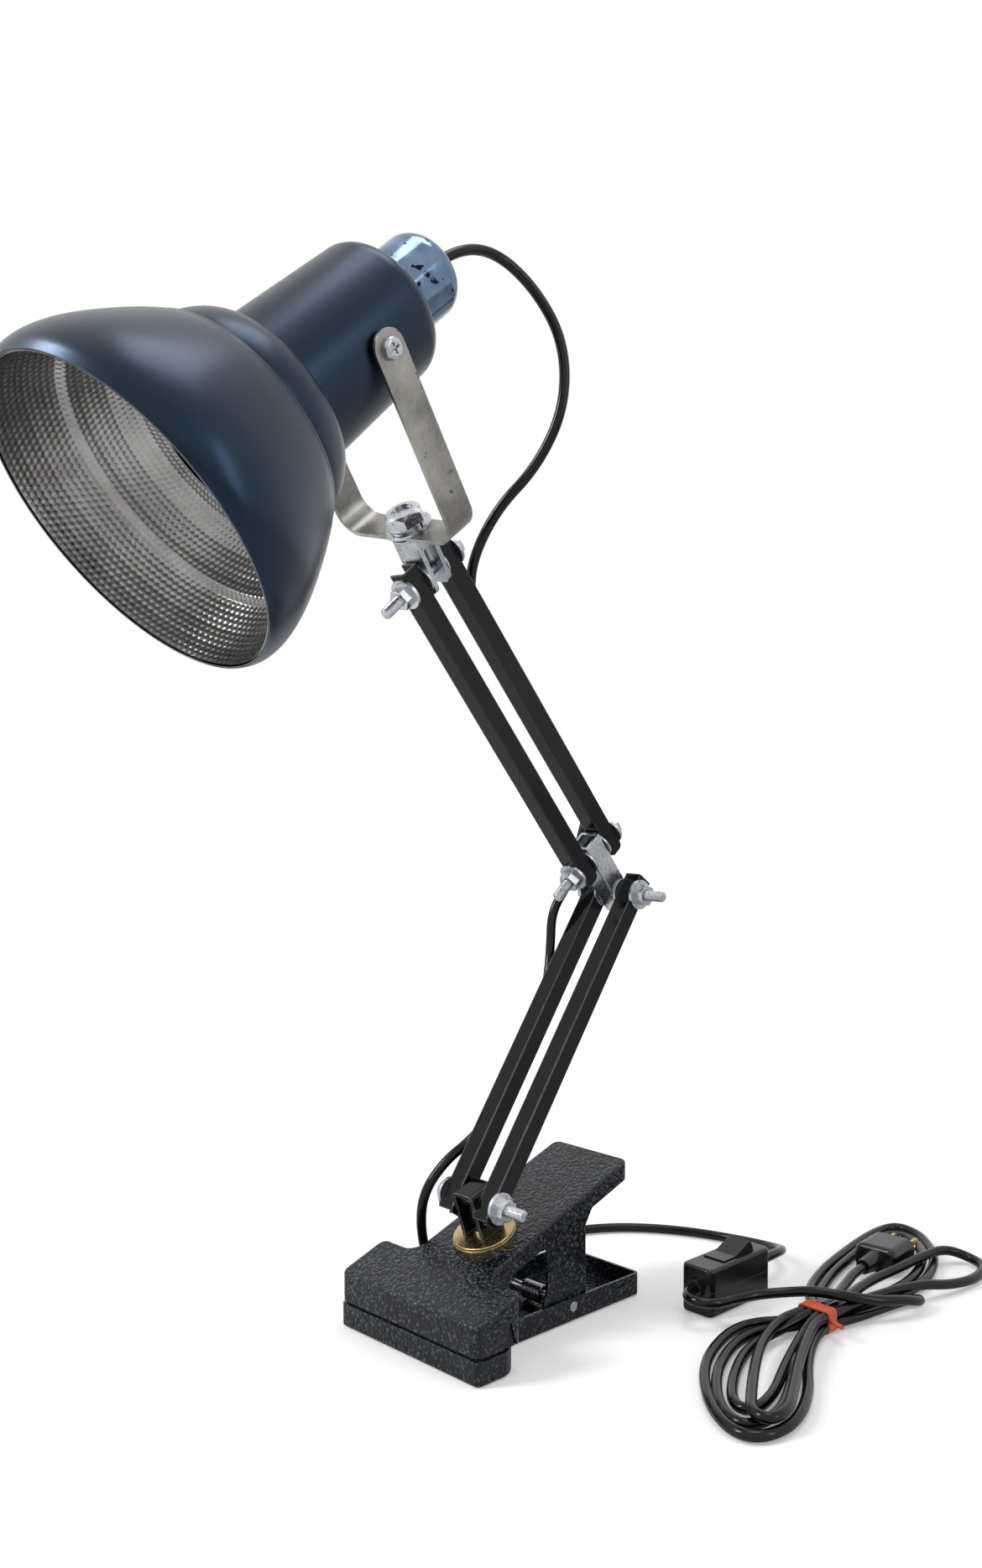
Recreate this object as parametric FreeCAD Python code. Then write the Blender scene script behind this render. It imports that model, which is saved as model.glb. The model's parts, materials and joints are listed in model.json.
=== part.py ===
import FreeCAD, Part
import math
import os
from FreeCAD import Base

# Clamp-on desk lamp with a two-stage folding arm. Millimetres.
# X is the arm bolts' direction, +Y the clamp's lever side, +Z up. The origin
# lies on the clamp's flat foot, straight under the lowest arm bolt.

os.makedirs("parts", exist_ok=True)

V = Base.Vector
X_AXIS = V(1, 0, 0)
Y_AXIS = V(0, 1, 0)
Z_AXIS = V(0, 0, 1)

# ---------------------------------------------------------------- dimensions
sheet = 1.5                 # steel of the clamp's two pressings

# lower jaw: a shallow pan, T-shaped in plan
bar_half = 50.75            # half width of the gripping bar
bar_front = -46.2
bar_back = -17.2
tray_half = 28.5
tray_back = 93.5
pan_height = 11.8

# upper jaw and lever: one sloping pressing with turned-down sides
slope = 19.3                # degrees, rising to the rear
top_at_origin = 43.6        # height of its top face at y = 0
lever_half = 26.5
lever_back = 86.8
jaw_rim_z = 13.5            # lower edge of the gripping bar's sides
flange_drop = 9.0           # depth of the lever's side flanges
cheek_front = 25.0
cheek_back = 53.0
cheek_round = 5.2

# clamp pivot and spring
pivot_y = 42.0
pivot_z = 7.5
pivot_r = 2.5
spring_wire_r = 1.0
spring_turns = 6.25
grip_gap = 0.1              # between the two soft pads

# swivel on the upper jaw
swivel_run = 7.0            # distance up the slope from y = 0 to the swivel axis
swivel_r = 3.0
disc_r = 16.0
disc_t = 1.45
post_side = 15.0
post_wall = 1.8
post_bolt_height = 20.5     # lowest arm bolt above the sloping face

# arms: four equal channels, two beside each other in each stage
bar = 10.0
bar_wall = 1.0
bar_inner = 7.55            # bar's inner face from the stage's centre plane
bar_over = 10.0             # bar beyond each bolt's centre
lower_span = 181.0
upper_span = 184.0
elbow_span = 29.0
lower_lean = 35.5           # degrees from vertical, to the rear
upper_lean = 39.2           # degrees from vertical, to the front

# M6 arm hardware
m6_r = 3.0
m6_head_af = 10.0
m6_head_h = 4.0
m6_nut_h = 5.0
m6_washer_r = 8.0
m6_washer_t = 1.6
thin_washer_t = 1.0
m6_end = 35.0               # threaded end from the stage's centre plane
block_half = 6.45           # elbow and head blocks across the bars
block_wall = 1.6

# head block, yoke and its M10 bolt
head_twist = 9.6            # degrees about the head bolt
yoke_turn = 3.8             # degrees about the yoke bolt
shade_tip = 92.0            # degrees from the arm's direction to the shade's
head_block_top = 22.4
head_block_roof = 7.0
yoke_base = 23.5            # underside of the yoke above the head bolt
yoke_t = 1.6
yoke_width = 17.0
yoke_half = 38.4            # outer face of each yoke arm
yoke_bend = 12.0
tilt_height = 117.0         # tilt screws above the head bolt
m10_r = 5.0
m10_head_af = 17.0
m10_head_h = 6.4
m10_washer_r = 11.5
m10_washer_t = 1.6

# shade, along its own axis from the tilt screws towards the mouth
shade_t = 1.0
shade_back = -36.0
neck_r_back = 33.5
neck_r_front = 36.7
neck_front = 42.0
shoulder_ring_r = 45.5
shoulder_ring_d = 45.0
groove_d = 62.0
groove_r = 52.0
dome_r = 56.5
dome_d = 65.5
mouth_d = 127.0
mouth_r = 75.5
reflector_t = 0.6
reflector_hole_r = 44.0
reflector_hole_d = 68.5
holder_hole_r = 19.5

# lampholder with an Edison-screw sleeve
sleeve_r = 13.2             # inside of the threaded sleeve
sleeve_wall = 0.6
sleeve_length = 16.5
holder_depth = 24.0
ring_nut_r = 24.0
ring_nut_h = 4.0
cap_r = 20.5
cap_back = -70.0

# tilt screws
m5_r = 2.5
m5_head_r = 4.9
m5_head_h = 3.0
m5_nut_af = 8.0
m5_nut_h = 3.6
m5_spacer_r = 6.0

# mains lead, its switch and its plug
lead_r = 2.6
switch_length = 52.0
switch_width = 20.0
switch_height = 25.0
switch_x = 66.5
switch_y = 119.0
plug_w = 25.0
plug_l = 24.0
blade_w = 6.35
blade_t = 1.5
blade_l = 16.5
blade_pitch = 12.7

# named clearances
run_fit = 0.05              # turning pin in its hole, radial
face_gap = 0.05             # between faces that slide on each other
pad_gap = 0.2


# ------------------------------------------------------------------- helpers
def rad(deg):
    return math.radians(deg)


def place(origin, z_dir, x_dir):
    """Placement whose local z and x lie along the given directions."""
    z = V(z_dir).normalize()
    y = z.cross(x_dir).normalize()
    x = y.cross(z)
    rows = (x.x, y.x, z.x, origin.x, x.y, y.y, z.y, origin.y, x.z, y.z, z.z, origin.z, 0, 0, 0, 1)
    return Base.Placement(Base.Matrix(*rows))


def put(shape, placement):
    out = shape.copy()
    out.Placement = placement.multiply(out.Placement)
    return out


def block(x0, x1, y0, y1, z0, z1):
    return Part.makeBox(x1 - x0, y1 - y0, z1 - z0, V(x0, y0, z0))


def rod(r, start, end):
    return Part.makeCylinder(r, (end - start).Length, start, end - start)


def ring(r_out, r_in, start, end):
    return rod(r_out, start, end).cut(rod(r_in, start, end))


def hexagon(af, start, end, turn=0.0):
    """Six-sided prism between two points, across flats af."""
    pts = []
    for k in range(7):
        t = rad(60 * k + turn)
        pts.append(V(af / math.sqrt(3) * math.cos(t), af / math.sqrt(3) * math.sin(t), 0))
    prism = Part.Face(Part.makePolygon(pts)).extrude(V(0, 0, (end - start).Length))
    side = X_AXIS if abs((end - start).normalize().x) < 0.9 else Y_AXIS
    return put(prism, place(start, end - start, side))


def fuse(shapes):
    out = shapes[0].fuse(shapes[1:]) if len(shapes) > 1 else shapes[0]
    return out.removeSplitter()


def outline(corners):
    """Closed flat wire through (x, y, radius) corners, each one rounded."""
    edges = []
    ends = []
    n = len(corners)
    for i in range(n):
        p = V(corners[i][0], corners[i][1], 0)
        a = V(corners[i - 1][0], corners[i - 1][1], 0) - p
        b = V(corners[(i + 1) % n][0], corners[(i + 1) % n][1], 0) - p
        r = corners[i][2]
        if r <= 0:
            ends.append((p, p, None))
            continue
        a.normalize()
        b.normalize()
        half = a.getAngle(b) / 2
        reach = r / math.tan(half)
        middle = V(a + b).normalize()
        mid = p + middle * (r / math.sin(half) - r)
        ends.append((p + a * reach, p + b * reach, mid))
    for i in range(n):
        start, stop, mid = ends[i]
        if mid is not None:
            edges.append(Part.Arc(start, mid, stop).toShape())
        following = ends[(i + 1) % n][0]
        if (following - stop).Length > 1e-6:
            edges.append(Part.LineSegment(stop, following).toShape())
    return Part.Wire(Part.__sortEdges__(edges))


def prism(corners, z0, z1):
    face = Part.Face(outline(corners))
    face.translate(V(0, 0, z0))
    return face.extrude(V(0, 0, z1 - z0))


def side_profile(points, half):
    """Prism of a closed (y, z) outline across X, from -half to +half."""
    pts = [V(-half, y, z) for y, z in points]
    return Part.Face(Part.makePolygon(pts + [pts[0]])).extrude(V(2 * half, 0, 0))


def cord(points, r, name):
    """Round tube of straight runs joined by tangent arcs; prints its radii."""
    pts = [V(*p) for p in points]
    edges = []
    start = pts[0]
    radii = []
    for i in range(1, len(pts) - 1):
        a = pts[i - 1] - pts[i]
        b = pts[i + 1] - pts[i]
        shorter = min(a.Length, b.Length)
        turn = math.pi - a.getAngle(b)
        reach = 0.45 * shorter
        radius = reach / math.tan(turn / 2)
        radii.append(radius)
        a.normalize()
        b.normalize()
        bend_in = pts[i] + a * reach
        bend_out = pts[i] + b * reach
        mid = pts[i] + V(a + b).normalize() * (radius / math.cos(turn / 2) - radius)
        edges.append(Part.LineSegment(start, bend_in).toShape())
        edges.append(Part.Arc(bend_in, mid, bend_out).toShape())
        start = bend_out
    edges.append(Part.LineSegment(start, pts[-1]).toShape())
    path = Part.Wire(edges)
    section = Part.Wire(Part.makeCircle(r, pts[0], pts[1] - pts[0]))
    tube = path.makePipeShell([section], True, False)
    ideal = math.pi * r * r * path.Length
    print(name, "length", round(path.Length, 1), "smallest radius", round(min(radii), 1) if radii else "-",
          "volume ratio", round(tube.Volume / ideal, 3), "valid", tube.isValid())
    return tube


def turned(sections, z_dir=Z_AXIS):
    """Solid of revolution about local z from a closed chain of (r, z) pieces.
    A piece with two points is a line, one with more is a smooth curve."""
    edges = []
    for piece in sections:
        pts = [V(r, 0, z) for r, z in piece]
        if len(pts) == 2:
            edges.append(Part.LineSegment(pts[0], pts[1]).toShape())
        else:
            curve = Part.BSplineCurve()
            curve.interpolate(pts)
            edges.append(curve.toShape())
    face = Part.Face(Part.Wire(Part.__sortEdges__(edges)))
    return face.revolve(V(0, 0, 0), z_dir, 360)


def inset(points, t):
    """The same chain of (r, z) points moved t towards the axis side."""
    out = []
    for i in range(len(points)):
        r0, z0 = points[max(i - 1, 0)]
        r1, z1 = points[min(i + 1, len(points) - 1)]
        length = math.hypot(r1 - r0, z1 - z0)
        nr, nz = (z1 - z0) / length, -(r1 - r0) / length
        if nr > 0:
            nr, nz = -nr, -nz
        out.append((points[i][0] + nr * t, points[i][1] + nz * t))
    return out


def rounded(shape, r, want):
    """Fillet the edges that want() picks."""
    return shape.makeFillet(r, [e for e in shape.Edges if want(e)])


def export(name, *solids):
    shape = solids[0] if len(solids) == 1 else Part.makeCompound(list(solids))
    for s in shape.Solids:
        if not s.isValid():
            print("INVALID", name)
    shape.exportStep("parts/" + name + ".step")
    print(name, len(shape.Solids), "solid(s)", round(shape.Volume / 1000, 2), "cm3")


# -------------------------------------------------------------------- frames
# Each stage has its own frame: z along the stage, x across it.
slope_dir = V(0, math.cos(rad(slope)), math.sin(rad(slope)))
slope_up = V(0, -math.sin(rad(slope)), math.cos(rad(slope)))
lower_dir = V(0, math.sin(rad(lower_lean)), math.cos(rad(lower_lean)))
upper_dir = V(0, -math.sin(rad(upper_lean)), math.cos(rad(upper_lean)))
upper_back = V(0, math.cos(rad(upper_lean)), math.sin(rad(upper_lean)))

swivel_foot = V(0, 0, top_at_origin) + slope_dir * swivel_run
base_bolt_at = swivel_foot + slope_up * post_bolt_height
elbow_bolt_at = base_bolt_at + lower_dir * lower_span
swing_bolt_at = elbow_bolt_at + upper_dir * elbow_span
head_bolt_at = swing_bolt_at + upper_dir * upper_span

head_dir = upper_dir * math.cos(rad(head_twist)) + X_AXIS * math.sin(rad(head_twist))
head_side = X_AXIS * math.cos(rad(head_twist)) - upper_dir * math.sin(rad(head_twist))
yoke_side = head_side * math.cos(rad(yoke_turn)) - upper_back * math.sin(rad(yoke_turn))
yoke_front = yoke_side.cross(head_dir)
shade_dir = head_dir * math.cos(rad(shade_tip)) + yoke_front * math.sin(rad(shade_tip))
tilt_at = head_bolt_at + head_dir * tilt_height

on_slope = place(swivel_foot, slope_up, X_AXIS)
on_base = place(base_bolt_at, lower_dir, X_AXIS)
on_elbow = place(swing_bolt_at, upper_dir, X_AXIS)
on_head = place(head_bolt_at, head_dir, head_side)
on_yoke = place(head_bolt_at, head_dir, yoke_side)
on_shade = place(tilt_at, shade_dir, yoke_side)
for label, at in (("base", base_bolt_at), ("elbow", elbow_bolt_at), ("swing", swing_bolt_at),
                  ("head", head_bolt_at), ("tilt", tilt_at)):
    print(label, [round(c, 2) for c in at])
for label, d in (("slope_up", slope_up), ("lower", lower_dir), ("upper", upper_dir), ("upper_back", upper_back),
                 ("head", head_dir), ("yoke_side", yoke_side), ("shade", shade_dir)):
    print(label, [round(c, 5) for c in d])


# ----------------------------------------------------------------- lower jaw
def t_plan(half_bar, y_front, y_back, half_tail, y_tail, corner, tail_corner, throat, grow=0.0):
    """Corners of a T-shaped plan: gripping bar across, tail to the rear."""
    right = [
        (half_bar, y_front, corner),
        (half_bar, y_back, tail_corner),
        (half_tail, y_back, throat),
        (half_tail, y_tail, corner),
    ]
    return right + [(-x, y, r) for x, y, r in reversed(right)]


pan_plan = t_plan(bar_half, bar_front, bar_back, tray_half, tray_back, 3.0, 13.0, 6.0)
pan_hollow = t_plan(bar_half - sheet, bar_front + sheet, bar_back - sheet, tray_half - sheet,
                    tray_back - sheet, 1.5, 11.5, 7.5)
lower_jaw = prism(pan_plan, 0, pan_height)
lower_jaw = rounded(lower_jaw, 1.4, lambda e: e.BoundBox.ZMax < 0.01)
lower_jaw = lower_jaw.cut(prism(pan_hollow, sheet, pan_height + 1))
pin_left = V(-tray_half, pivot_y, pivot_z)
pin_right = V(tray_half, pivot_y, pivot_z)
lower_jaw = lower_jaw.cut(rod(pivot_r, pin_left - X_AXIS, pin_right + X_AXIS))
export("lower_jaw", lower_jaw)
export("pivot_pin", rod(pivot_r, pin_left, pin_right))

pad_top = (pan_height + jaw_rim_z) / 2 - grip_gap / 2
pad_plan = [
    (bar_half - sheet - pad_gap, bar_front + sheet + pad_gap, 1.5),
    (bar_half - sheet - pad_gap, bar_back - sheet - pad_gap, 11.5),
    (-bar_half + sheet + pad_gap, bar_back - sheet - pad_gap, 11.5),
    (-bar_half + sheet + pad_gap, bar_front + sheet + pad_gap, 1.5),
]
lower_pad = prism(pad_plan, sheet, pad_top)
for k in range(5):
    groove_y = bar_front + 6.5 + 4.4 * k
    lower_pad = lower_pad.cut(block(-bar_half, bar_half, groove_y - 0.6, groove_y + 0.6, pad_top - 1.0, pad_top + 1))
export("lower_pad", lower_pad)


# ------------------------------------------------------- upper jaw and lever
def slope_z(y, below=0.0):
    """Height of the sloping top face at y, or of a parallel face below it."""
    return top_at_origin + y * math.tan(rad(slope)) - below / math.cos(rad(slope))


def under_slope(below, y0=-80.0, y1=140.0):
    """Everything under the sloping face, or under a parallel one."""
    return side_profile([(y0, -40), (y1, -40), (y1, slope_z(y1, below)), (y0, slope_z(y0, below))], 80)


jaw_plan = t_plan(bar_half, bar_front, bar_back, lever_half, lever_back, 4.5, 4.5, 8.0)
jaw_hollow = t_plan(bar_half - sheet, bar_front + sheet, bar_back - sheet, lever_half - sheet,
                    lever_back - sheet, 3.0, 3.0, 9.5)
skin = prism(jaw_plan, 0, 110).common(under_slope(0))
skin = skin.cut(prism(jaw_hollow, -1, 110).common(under_slope(sheet)))
rim_front = [(bar_front - 5, -5), (bar_back + 9, -5), (bar_back + 9, jaw_rim_z), (bar_front - 5, jaw_rim_z)]
throat_cut = [
    (bar_back + 9, -5), (cheek_front - 3, -5), (cheek_front - 3, pan_height), (cheek_front, 20),
    (cheek_front, slope_z(cheek_front - 6, flange_drop)), (cheek_front - 6, slope_z(cheek_front - 6, flange_drop)),
    (bar_back + 17, slope_z(bar_back + 17, flange_drop)), (bar_back + 9, jaw_rim_z),
]
cheek_foot_front = [
    (cheek_front - 6, -5), (pivot_y - cheek_round, -5), (pivot_y - cheek_round, pivot_z), (cheek_front - 6, pan_height),
]
cheek_foot_back = [
    (pivot_y + cheek_round, -5), (cheek_back + 8, -5), (cheek_back + 8, pan_height), (cheek_back, pan_height),
    (pivot_y + cheek_round, pivot_z),
]
tail_cut = [
    (cheek_back, -5), (lever_back + 10, -5), (lever_back + 10, slope_z(lever_back + 10, flange_drop)),
    (cheek_back + 5, slope_z(cheek_back + 5, flange_drop)), (cheek_back, slope_z(cheek_back - 6, flange_drop) - 4),
]
upper_jaw = skin
for cut_shape in (rim_front, throat_cut, cheek_foot_front, cheek_foot_back, tail_cut):
    upper_jaw = upper_jaw.cut(side_profile(cut_shape, 80))
foot_round = block(-80, 80, pivot_y - cheek_round, pivot_y + cheek_round, -5, pivot_z)
foot_round = foot_round.cut(rod(cheek_round, V(-80, pivot_y, pivot_z), V(80, pivot_y, pivot_z)))
upper_jaw = upper_jaw.cut(foot_round)
for s in (-1, 1):
    notch = Part.Face(Part.makePolygon([V(s * (bar_half - 3), -31, 10), V(s * (bar_half - 3), -19.5, 10),
                                        V(s * (bar_half - 3), -25, 26), V(s * (bar_half - 3), -31, 10)]))
    upper_jaw = upper_jaw.cut(notch.extrude(V(s * 8, 0, 0)))
upper_jaw = upper_jaw.cut(rod(pivot_r + run_fit, V(-80, pivot_y, pivot_z), V(80, pivot_y, pivot_z)))
upper_jaw = upper_jaw.cut(rod(swivel_r, swivel_foot - slope_up * 9, swivel_foot + slope_up * 9))


def on_top_rim(e):
    """Edges around the sloping face's outside."""
    c = e.CenterOfMass
    high = abs((c - swivel_foot).dot(slope_up)) < 0.05
    box = e.BoundBox
    return high and max(abs(box.XMin), abs(box.XMax)) > swivel_r + 1 and e.Length > 1


upper_jaw = rounded(upper_jaw, 1.3, on_top_rim)
export("upper_jaw", upper_jaw)

wedge = [
    (bar_front + sheet + pad_gap, pad_top + grip_gap), (bar_back - sheet - pad_gap, pad_top + grip_gap),
    (bar_back - sheet - pad_gap, slope_z(bar_back - sheet - pad_gap, sheet)),
    (bar_front + sheet + pad_gap, slope_z(bar_front + sheet + pad_gap, sheet)),
]
upper_pad = side_profile(wedge, bar_half - sheet - pad_gap)
upper_pad = upper_pad.common(prism([(x, y, 3.0) for x, y, r in pad_plan], 0, 60))
export("upper_pad", upper_pad)

# torsion spring: coil on the pivot pin, one leg on the pan floor, one under the lever
coil_r = pivot_r + 0.4 + spring_wire_r
coil_pitch = 2 * spring_wire_r + 0.25
coil_length = coil_pitch * spring_turns
helix = Part.makeHelix(coil_pitch, coil_length, coil_r)
spring_at = place(V(-coil_length / 2, pivot_y, pivot_z), X_AXIS, V(0, 0, -1))
coil_wire = put(helix, spring_at)
first = coil_wire.Edges[0].valueAt(coil_wire.Edges[0].FirstParameter)
section = Part.Wire(Part.makeCircle(spring_wire_r, first, coil_wire.Edges[0].tangentAt(coil_wire.Edges[0].FirstParameter)))
coil = Part.Wire(coil_wire.Edges).makePipeShell([section], True, True)
leg_low = V(-coil_length / 2, pivot_y, pivot_z - coil_r)
up_start = V(coil_length / 2, pivot_y + coil_r, pivot_z)
low_leg = rod(spring_wire_r, leg_low, leg_low + V(0, 30, -pivot_z + coil_r + sheet + spring_wire_r + 0.2))
high_leg = rod(spring_wire_r, up_start, V(coil_length / 2, 50, slope_z(50, sheet) - spring_wire_r - 1.2))
clamp_spring = fuse([coil, low_leg, high_leg])
export("clamp_spring", clamp_spring)

# ------------------------------------------------------------- base swivel
lower_disc = ring(disc_r + 0.4, swivel_r, V(0, 0, 0), V(0, 0, disc_t))
export("lower_disc", put(lower_disc, on_slope))
disc_z = disc_t + face_gap
upper_disc = ring(disc_r, swivel_r + run_fit, V(0, 0, disc_z), V(0, 0, disc_z + disc_t))
upper_disc = rounded(upper_disc, 0.5, lambda e: e.BoundBox.ZMin > disc_z + disc_t - 0.01 and e.Length > 60)
export("upper_disc", put(upper_disc, on_slope))
rivet_z = disc_z + disc_t + face_gap
rivet = fuse([
    rod(swivel_r, V(0, 0, -sheet - 0.5), V(0, 0, rivet_z + 0.5)),
    rod(4.8, V(0, 0, rivet_z), V(0, 0, rivet_z + 1.8)),
    rod(5.5, V(0, 0, -sheet - 1.8), V(0, 0, -sheet)),
])
export("swivel_rivet", put(rivet, on_slope))

post_half = post_side / 2
post_top = post_bolt_height + post_half
post_foot = disc_z + disc_t
post = block(-post_half, post_half, -post_half, post_half, post_foot, post_top)
post = rounded(post, 3.0, lambda e: e.BoundBox.ZMin > post_top - 0.01 and e.BoundBox.YLength > 1)
post = post.cut(block(-post_half + post_wall, post_half - post_wall, -20, 20, post_foot - 1, post_top - post_wall))
post = post.cut(rod(m6_r, V(-20, 0, post_bolt_height), V(20, 0, post_bolt_height)))
export("base_post", put(post, on_slope))


# --------------------------------------------------------------- arm hardware
bar_outer = bar_inner + bar
clamp_face = bar_outer + face_gap


def m6_bolt():
    """Bolt along +x through one stage, its head at -x."""
    head = clamp_face + m6_washer_t
    parts = [
        hexagon(m6_head_af, V(-head - m6_head_h, 0, 0), V(-head, 0, 0)),
        rod(m6_r, V(-head - 0.5, 0, 0), V(m6_end - 0.8, 0, 0)),
        Part.makeCone(m6_r, m6_r - 0.8, 0.8, V(m6_end - 0.8, 0, 0), X_AXIS),
    ]
    return fuse(parts)


def m6_nut():
    start = clamp_face + m6_washer_t
    nut = hexagon(m6_head_af, V(start, 0, 0), V(start + m6_nut_h, 0, 0))
    return nut.cut(rod(m6_r, V(0, 0, 0), V(60, 0, 0)))


def m6_washers():
    out = []
    for s in (-1, 1):
        out.append(ring(m6_washer_r, m6_r, V(s * clamp_face, 0, 0), V(s * (clamp_face + m6_washer_t), 0, 0)))
    return out


def thin_washers():
    """Washers between a block and its bars."""
    out = []
    for s in (-1, 1):
        out.append(ring(m6_washer_r, m6_r, V(s * block_half, 0, 0), V(s * (block_half + thin_washer_t), 0, 0)))
    return out


def bolt_frame(at, along, up):
    """Frame whose x runs along a bolt."""
    x = V(along).normalize()
    return place(at, V(up), x)


base_bolt_frame = bolt_frame(base_bolt_at, X_AXIS, lower_dir)
elbow_bolt_frame = bolt_frame(elbow_bolt_at, X_AXIS, upper_dir)
swing_bolt_frame = bolt_frame(swing_bolt_at, upper_back * -1, upper_dir)
head_bolt_frame = bolt_frame(head_bolt_at, upper_back * -1, head_dir)

export("base_bolt", put(m6_bolt(), base_bolt_frame))
export("base_nut", put(m6_nut(), base_bolt_frame))
export("base_washers", *[put(w, base_bolt_frame) for w in m6_washers()])


# ----------------------------------------------------------------------- bars
def channel(span, rounded_foot):
    """Bar along z, web on +x, open towards -x, its middle on the z axis."""
    h = bar / 2
    low = -bar_over
    out = block(-h, h, -h, h, low, span + bar_over)
    if rounded_foot:
        out = rounded(out, 3.0, lambda e: e.BoundBox.ZMax < low + 0.01 and e.BoundBox.XLength > 1)
    out = out.cut(block(-h - 1, h - bar_wall, -h + bar_wall, h - bar_wall, low - 1, span + bar_over + 1))
    long_edges = [e for e in out.Edges if e.BoundBox.ZLength > span and abs(e.BoundBox.XMax - h) < 0.01
                  and abs(abs(e.BoundBox.YMax) - h) < 0.01]
    return out.makeFillet(0.6, long_edges)


bar_at = bar_inner + bar / 2
for s, name in ((-1, "lower_bar_left"), (1, "lower_bar_right")):
    one = channel(lower_span, True)
    one.translate(V(s * bar_at, 0, 0))
    for z in (0, lower_span):
        one = one.cut(rod(m6_r + run_fit, V(-40, 0, z), V(40, 0, z)))
    export(name, put(one, on_base))
for s, name in ((-1, "upper_bar_front"), (1, "upper_bar_rear")):
    one = channel(upper_span, True)
    one.translate(V(0, s * bar_at, 0))
    for z in (0, upper_span):
        one = one.cut(rod(m6_r + run_fit, V(0, -40, z), V(0, 40, z)))
    export(name, put(one, on_elbow))

# ---------------------------------------------------------------------- elbow
elbow_block = block(-block_half, block_half, -block_half, block_half, -elbow_span - 8.5, 9.0)
elbow_block = rounded(elbow_block, 1.2, lambda e: e.BoundBox.ZLength > 20)
hollow = block_half - block_wall
elbow_block = elbow_block.cut(block(-hollow, hollow, -hollow, hollow, -60, 60))
elbow_block = elbow_block.cut(rod(m6_r, V(-20, 0, -elbow_span), V(20, 0, -elbow_span)))
elbow_block = elbow_block.cut(rod(m6_r, V(0, -20, 0), V(0, 20, 0)))
export("elbow_block", put(elbow_block, on_elbow))
elbow_frames = (elbow_bolt_frame, swing_bolt_frame)
export("elbow_bolts", *[put(m6_bolt(), f) for f in elbow_frames])
export("elbow_nuts", *[put(m6_nut(), f) for f in elbow_frames])
export("elbow_washers", *[put(w, f) for f in elbow_frames for w in m6_washers()])
export("elbow_thin_washers", *[put(w, f) for f in elbow_frames for w in thin_washers()])

# ----------------------------------------------------------------- head block
head_block = block(-post_half, post_half, -block_half, block_half, -8.5, head_block_top)
head_block = rounded(head_block, 4.0, lambda e: e.BoundBox.ZMax < -8.4 and e.BoundBox.YLength > 1)
roof_z = head_block_top - head_block_roof
leg_gap = block_half - 2.5
head_block = head_block.cut(block(-20, 20, -leg_gap, leg_gap, -20, roof_z))
head_block = head_block.cut(rod(m6_r, V(0, -20, 0), V(0, 20, 0)))
head_block = head_block.cut(rod(m10_r, V(0, 0, 0), V(0, 0, 60)))
export("head_block", put(head_block, on_head))
export("head_bolt", put(m6_bolt(), head_bolt_frame))
export("head_nut", put(m6_nut(), head_bolt_frame))
export("head_washers", *[put(w, head_bolt_frame) for w in m6_washers() + thin_washers()])

washer_z = yoke_base + yoke_t + face_gap
head_z = washer_z + m10_washer_t + 1.8
yoke_bolt = hexagon(m10_head_af, V(0, 0, head_z), V(0, 0, head_z + m10_head_h), 12)
crown = Part.makeCone(m10_head_af / 2 + 5.0, m10_head_af / 2 - 0.6, 5.6, V(0, 0, head_z + m10_head_h - 5.6), Z_AXIS)
yoke_bolt = yoke_bolt.common(fuse([crown, rod(20, V(0, 0, head_z), V(0, 0, head_z + m10_head_h - 3))]))
yoke_bolt = yoke_bolt.cut(rod(5.6, V(0, 0, head_z + m10_head_h - 1.6), V(0, 0, head_z + m10_head_h + 1)))
yoke_bolt = fuse([yoke_bolt, rod(m10_r, V(0, 0, roof_z), V(0, 0, head_z + 1))])
export("yoke_bolt", put(yoke_bolt, on_head))
spring_washer = ring(9.0, m10_r, V(0, 0, head_z - 1.8), V(0, 0, head_z))
spring_washer = spring_washer.cut(block(6, 12, -0.6, 0.6, 0, 60))
export("yoke_washers",
       put(ring(m10_washer_r, m10_r, V(0, 0, washer_z), V(0, 0, washer_z + m10_washer_t)), on_head),
       put(spring_washer, on_head),
       put(ring(10.0, m10_r, V(0, 0, head_block_top), V(0, 0, yoke_base - face_gap)), on_head))


# ----------------------------------------------------------------------- yoke
def bent_strip(half, base, top, bend, width):
    """U-shaped block, open upwards, its outer faces at the given sizes."""
    u = block(-half, half, -width / 2, width / 2, base, top)
    return rounded(u, bend, lambda e: e.BoundBox.ZMax < base + 0.01 and e.BoundBox.YLength > 1)


yoke_half_w = yoke_width / 2
yoke_top = tilt_height + yoke_half_w
yoke = bent_strip(yoke_half, yoke_base, yoke_top, yoke_bend, yoke_width)
yoke = yoke.cut(bent_strip(yoke_half - yoke_t, yoke_base + yoke_t, yoke_top + 1, yoke_bend - yoke_t, yoke_width + 2))
yoke_ends = fuse([
    rod(yoke_half_w, V(-60, 0, tilt_height), V(60, 0, tilt_height)),
    block(-60, 60, -yoke_half_w, yoke_half_w, 0, tilt_height),
])
yoke = yoke.common(yoke_ends)
yoke = yoke.cut(rod(m5_r + run_fit, V(-60, 0, tilt_height), V(60, 0, tilt_height)))
yoke = yoke.cut(rod(m10_r + run_fit, V(0, 0, 0), V(0, 0, 60)))
export("yoke", put(yoke, on_yoke))

# ---------------------------------------------------------------------- shade
# outer profile, (radius, distance along the axis); each list is one smooth run
back_curve = [(26.5, shade_back), (30.6, shade_back + 1.3), (32.7, shade_back + 4.2), (neck_r_back, shade_back + 8.0)]
neck_line = [back_curve[-1], (neck_r_front, neck_front)]
flare = mouth_r - dome_r
belly = mouth_r + 2.7


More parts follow.
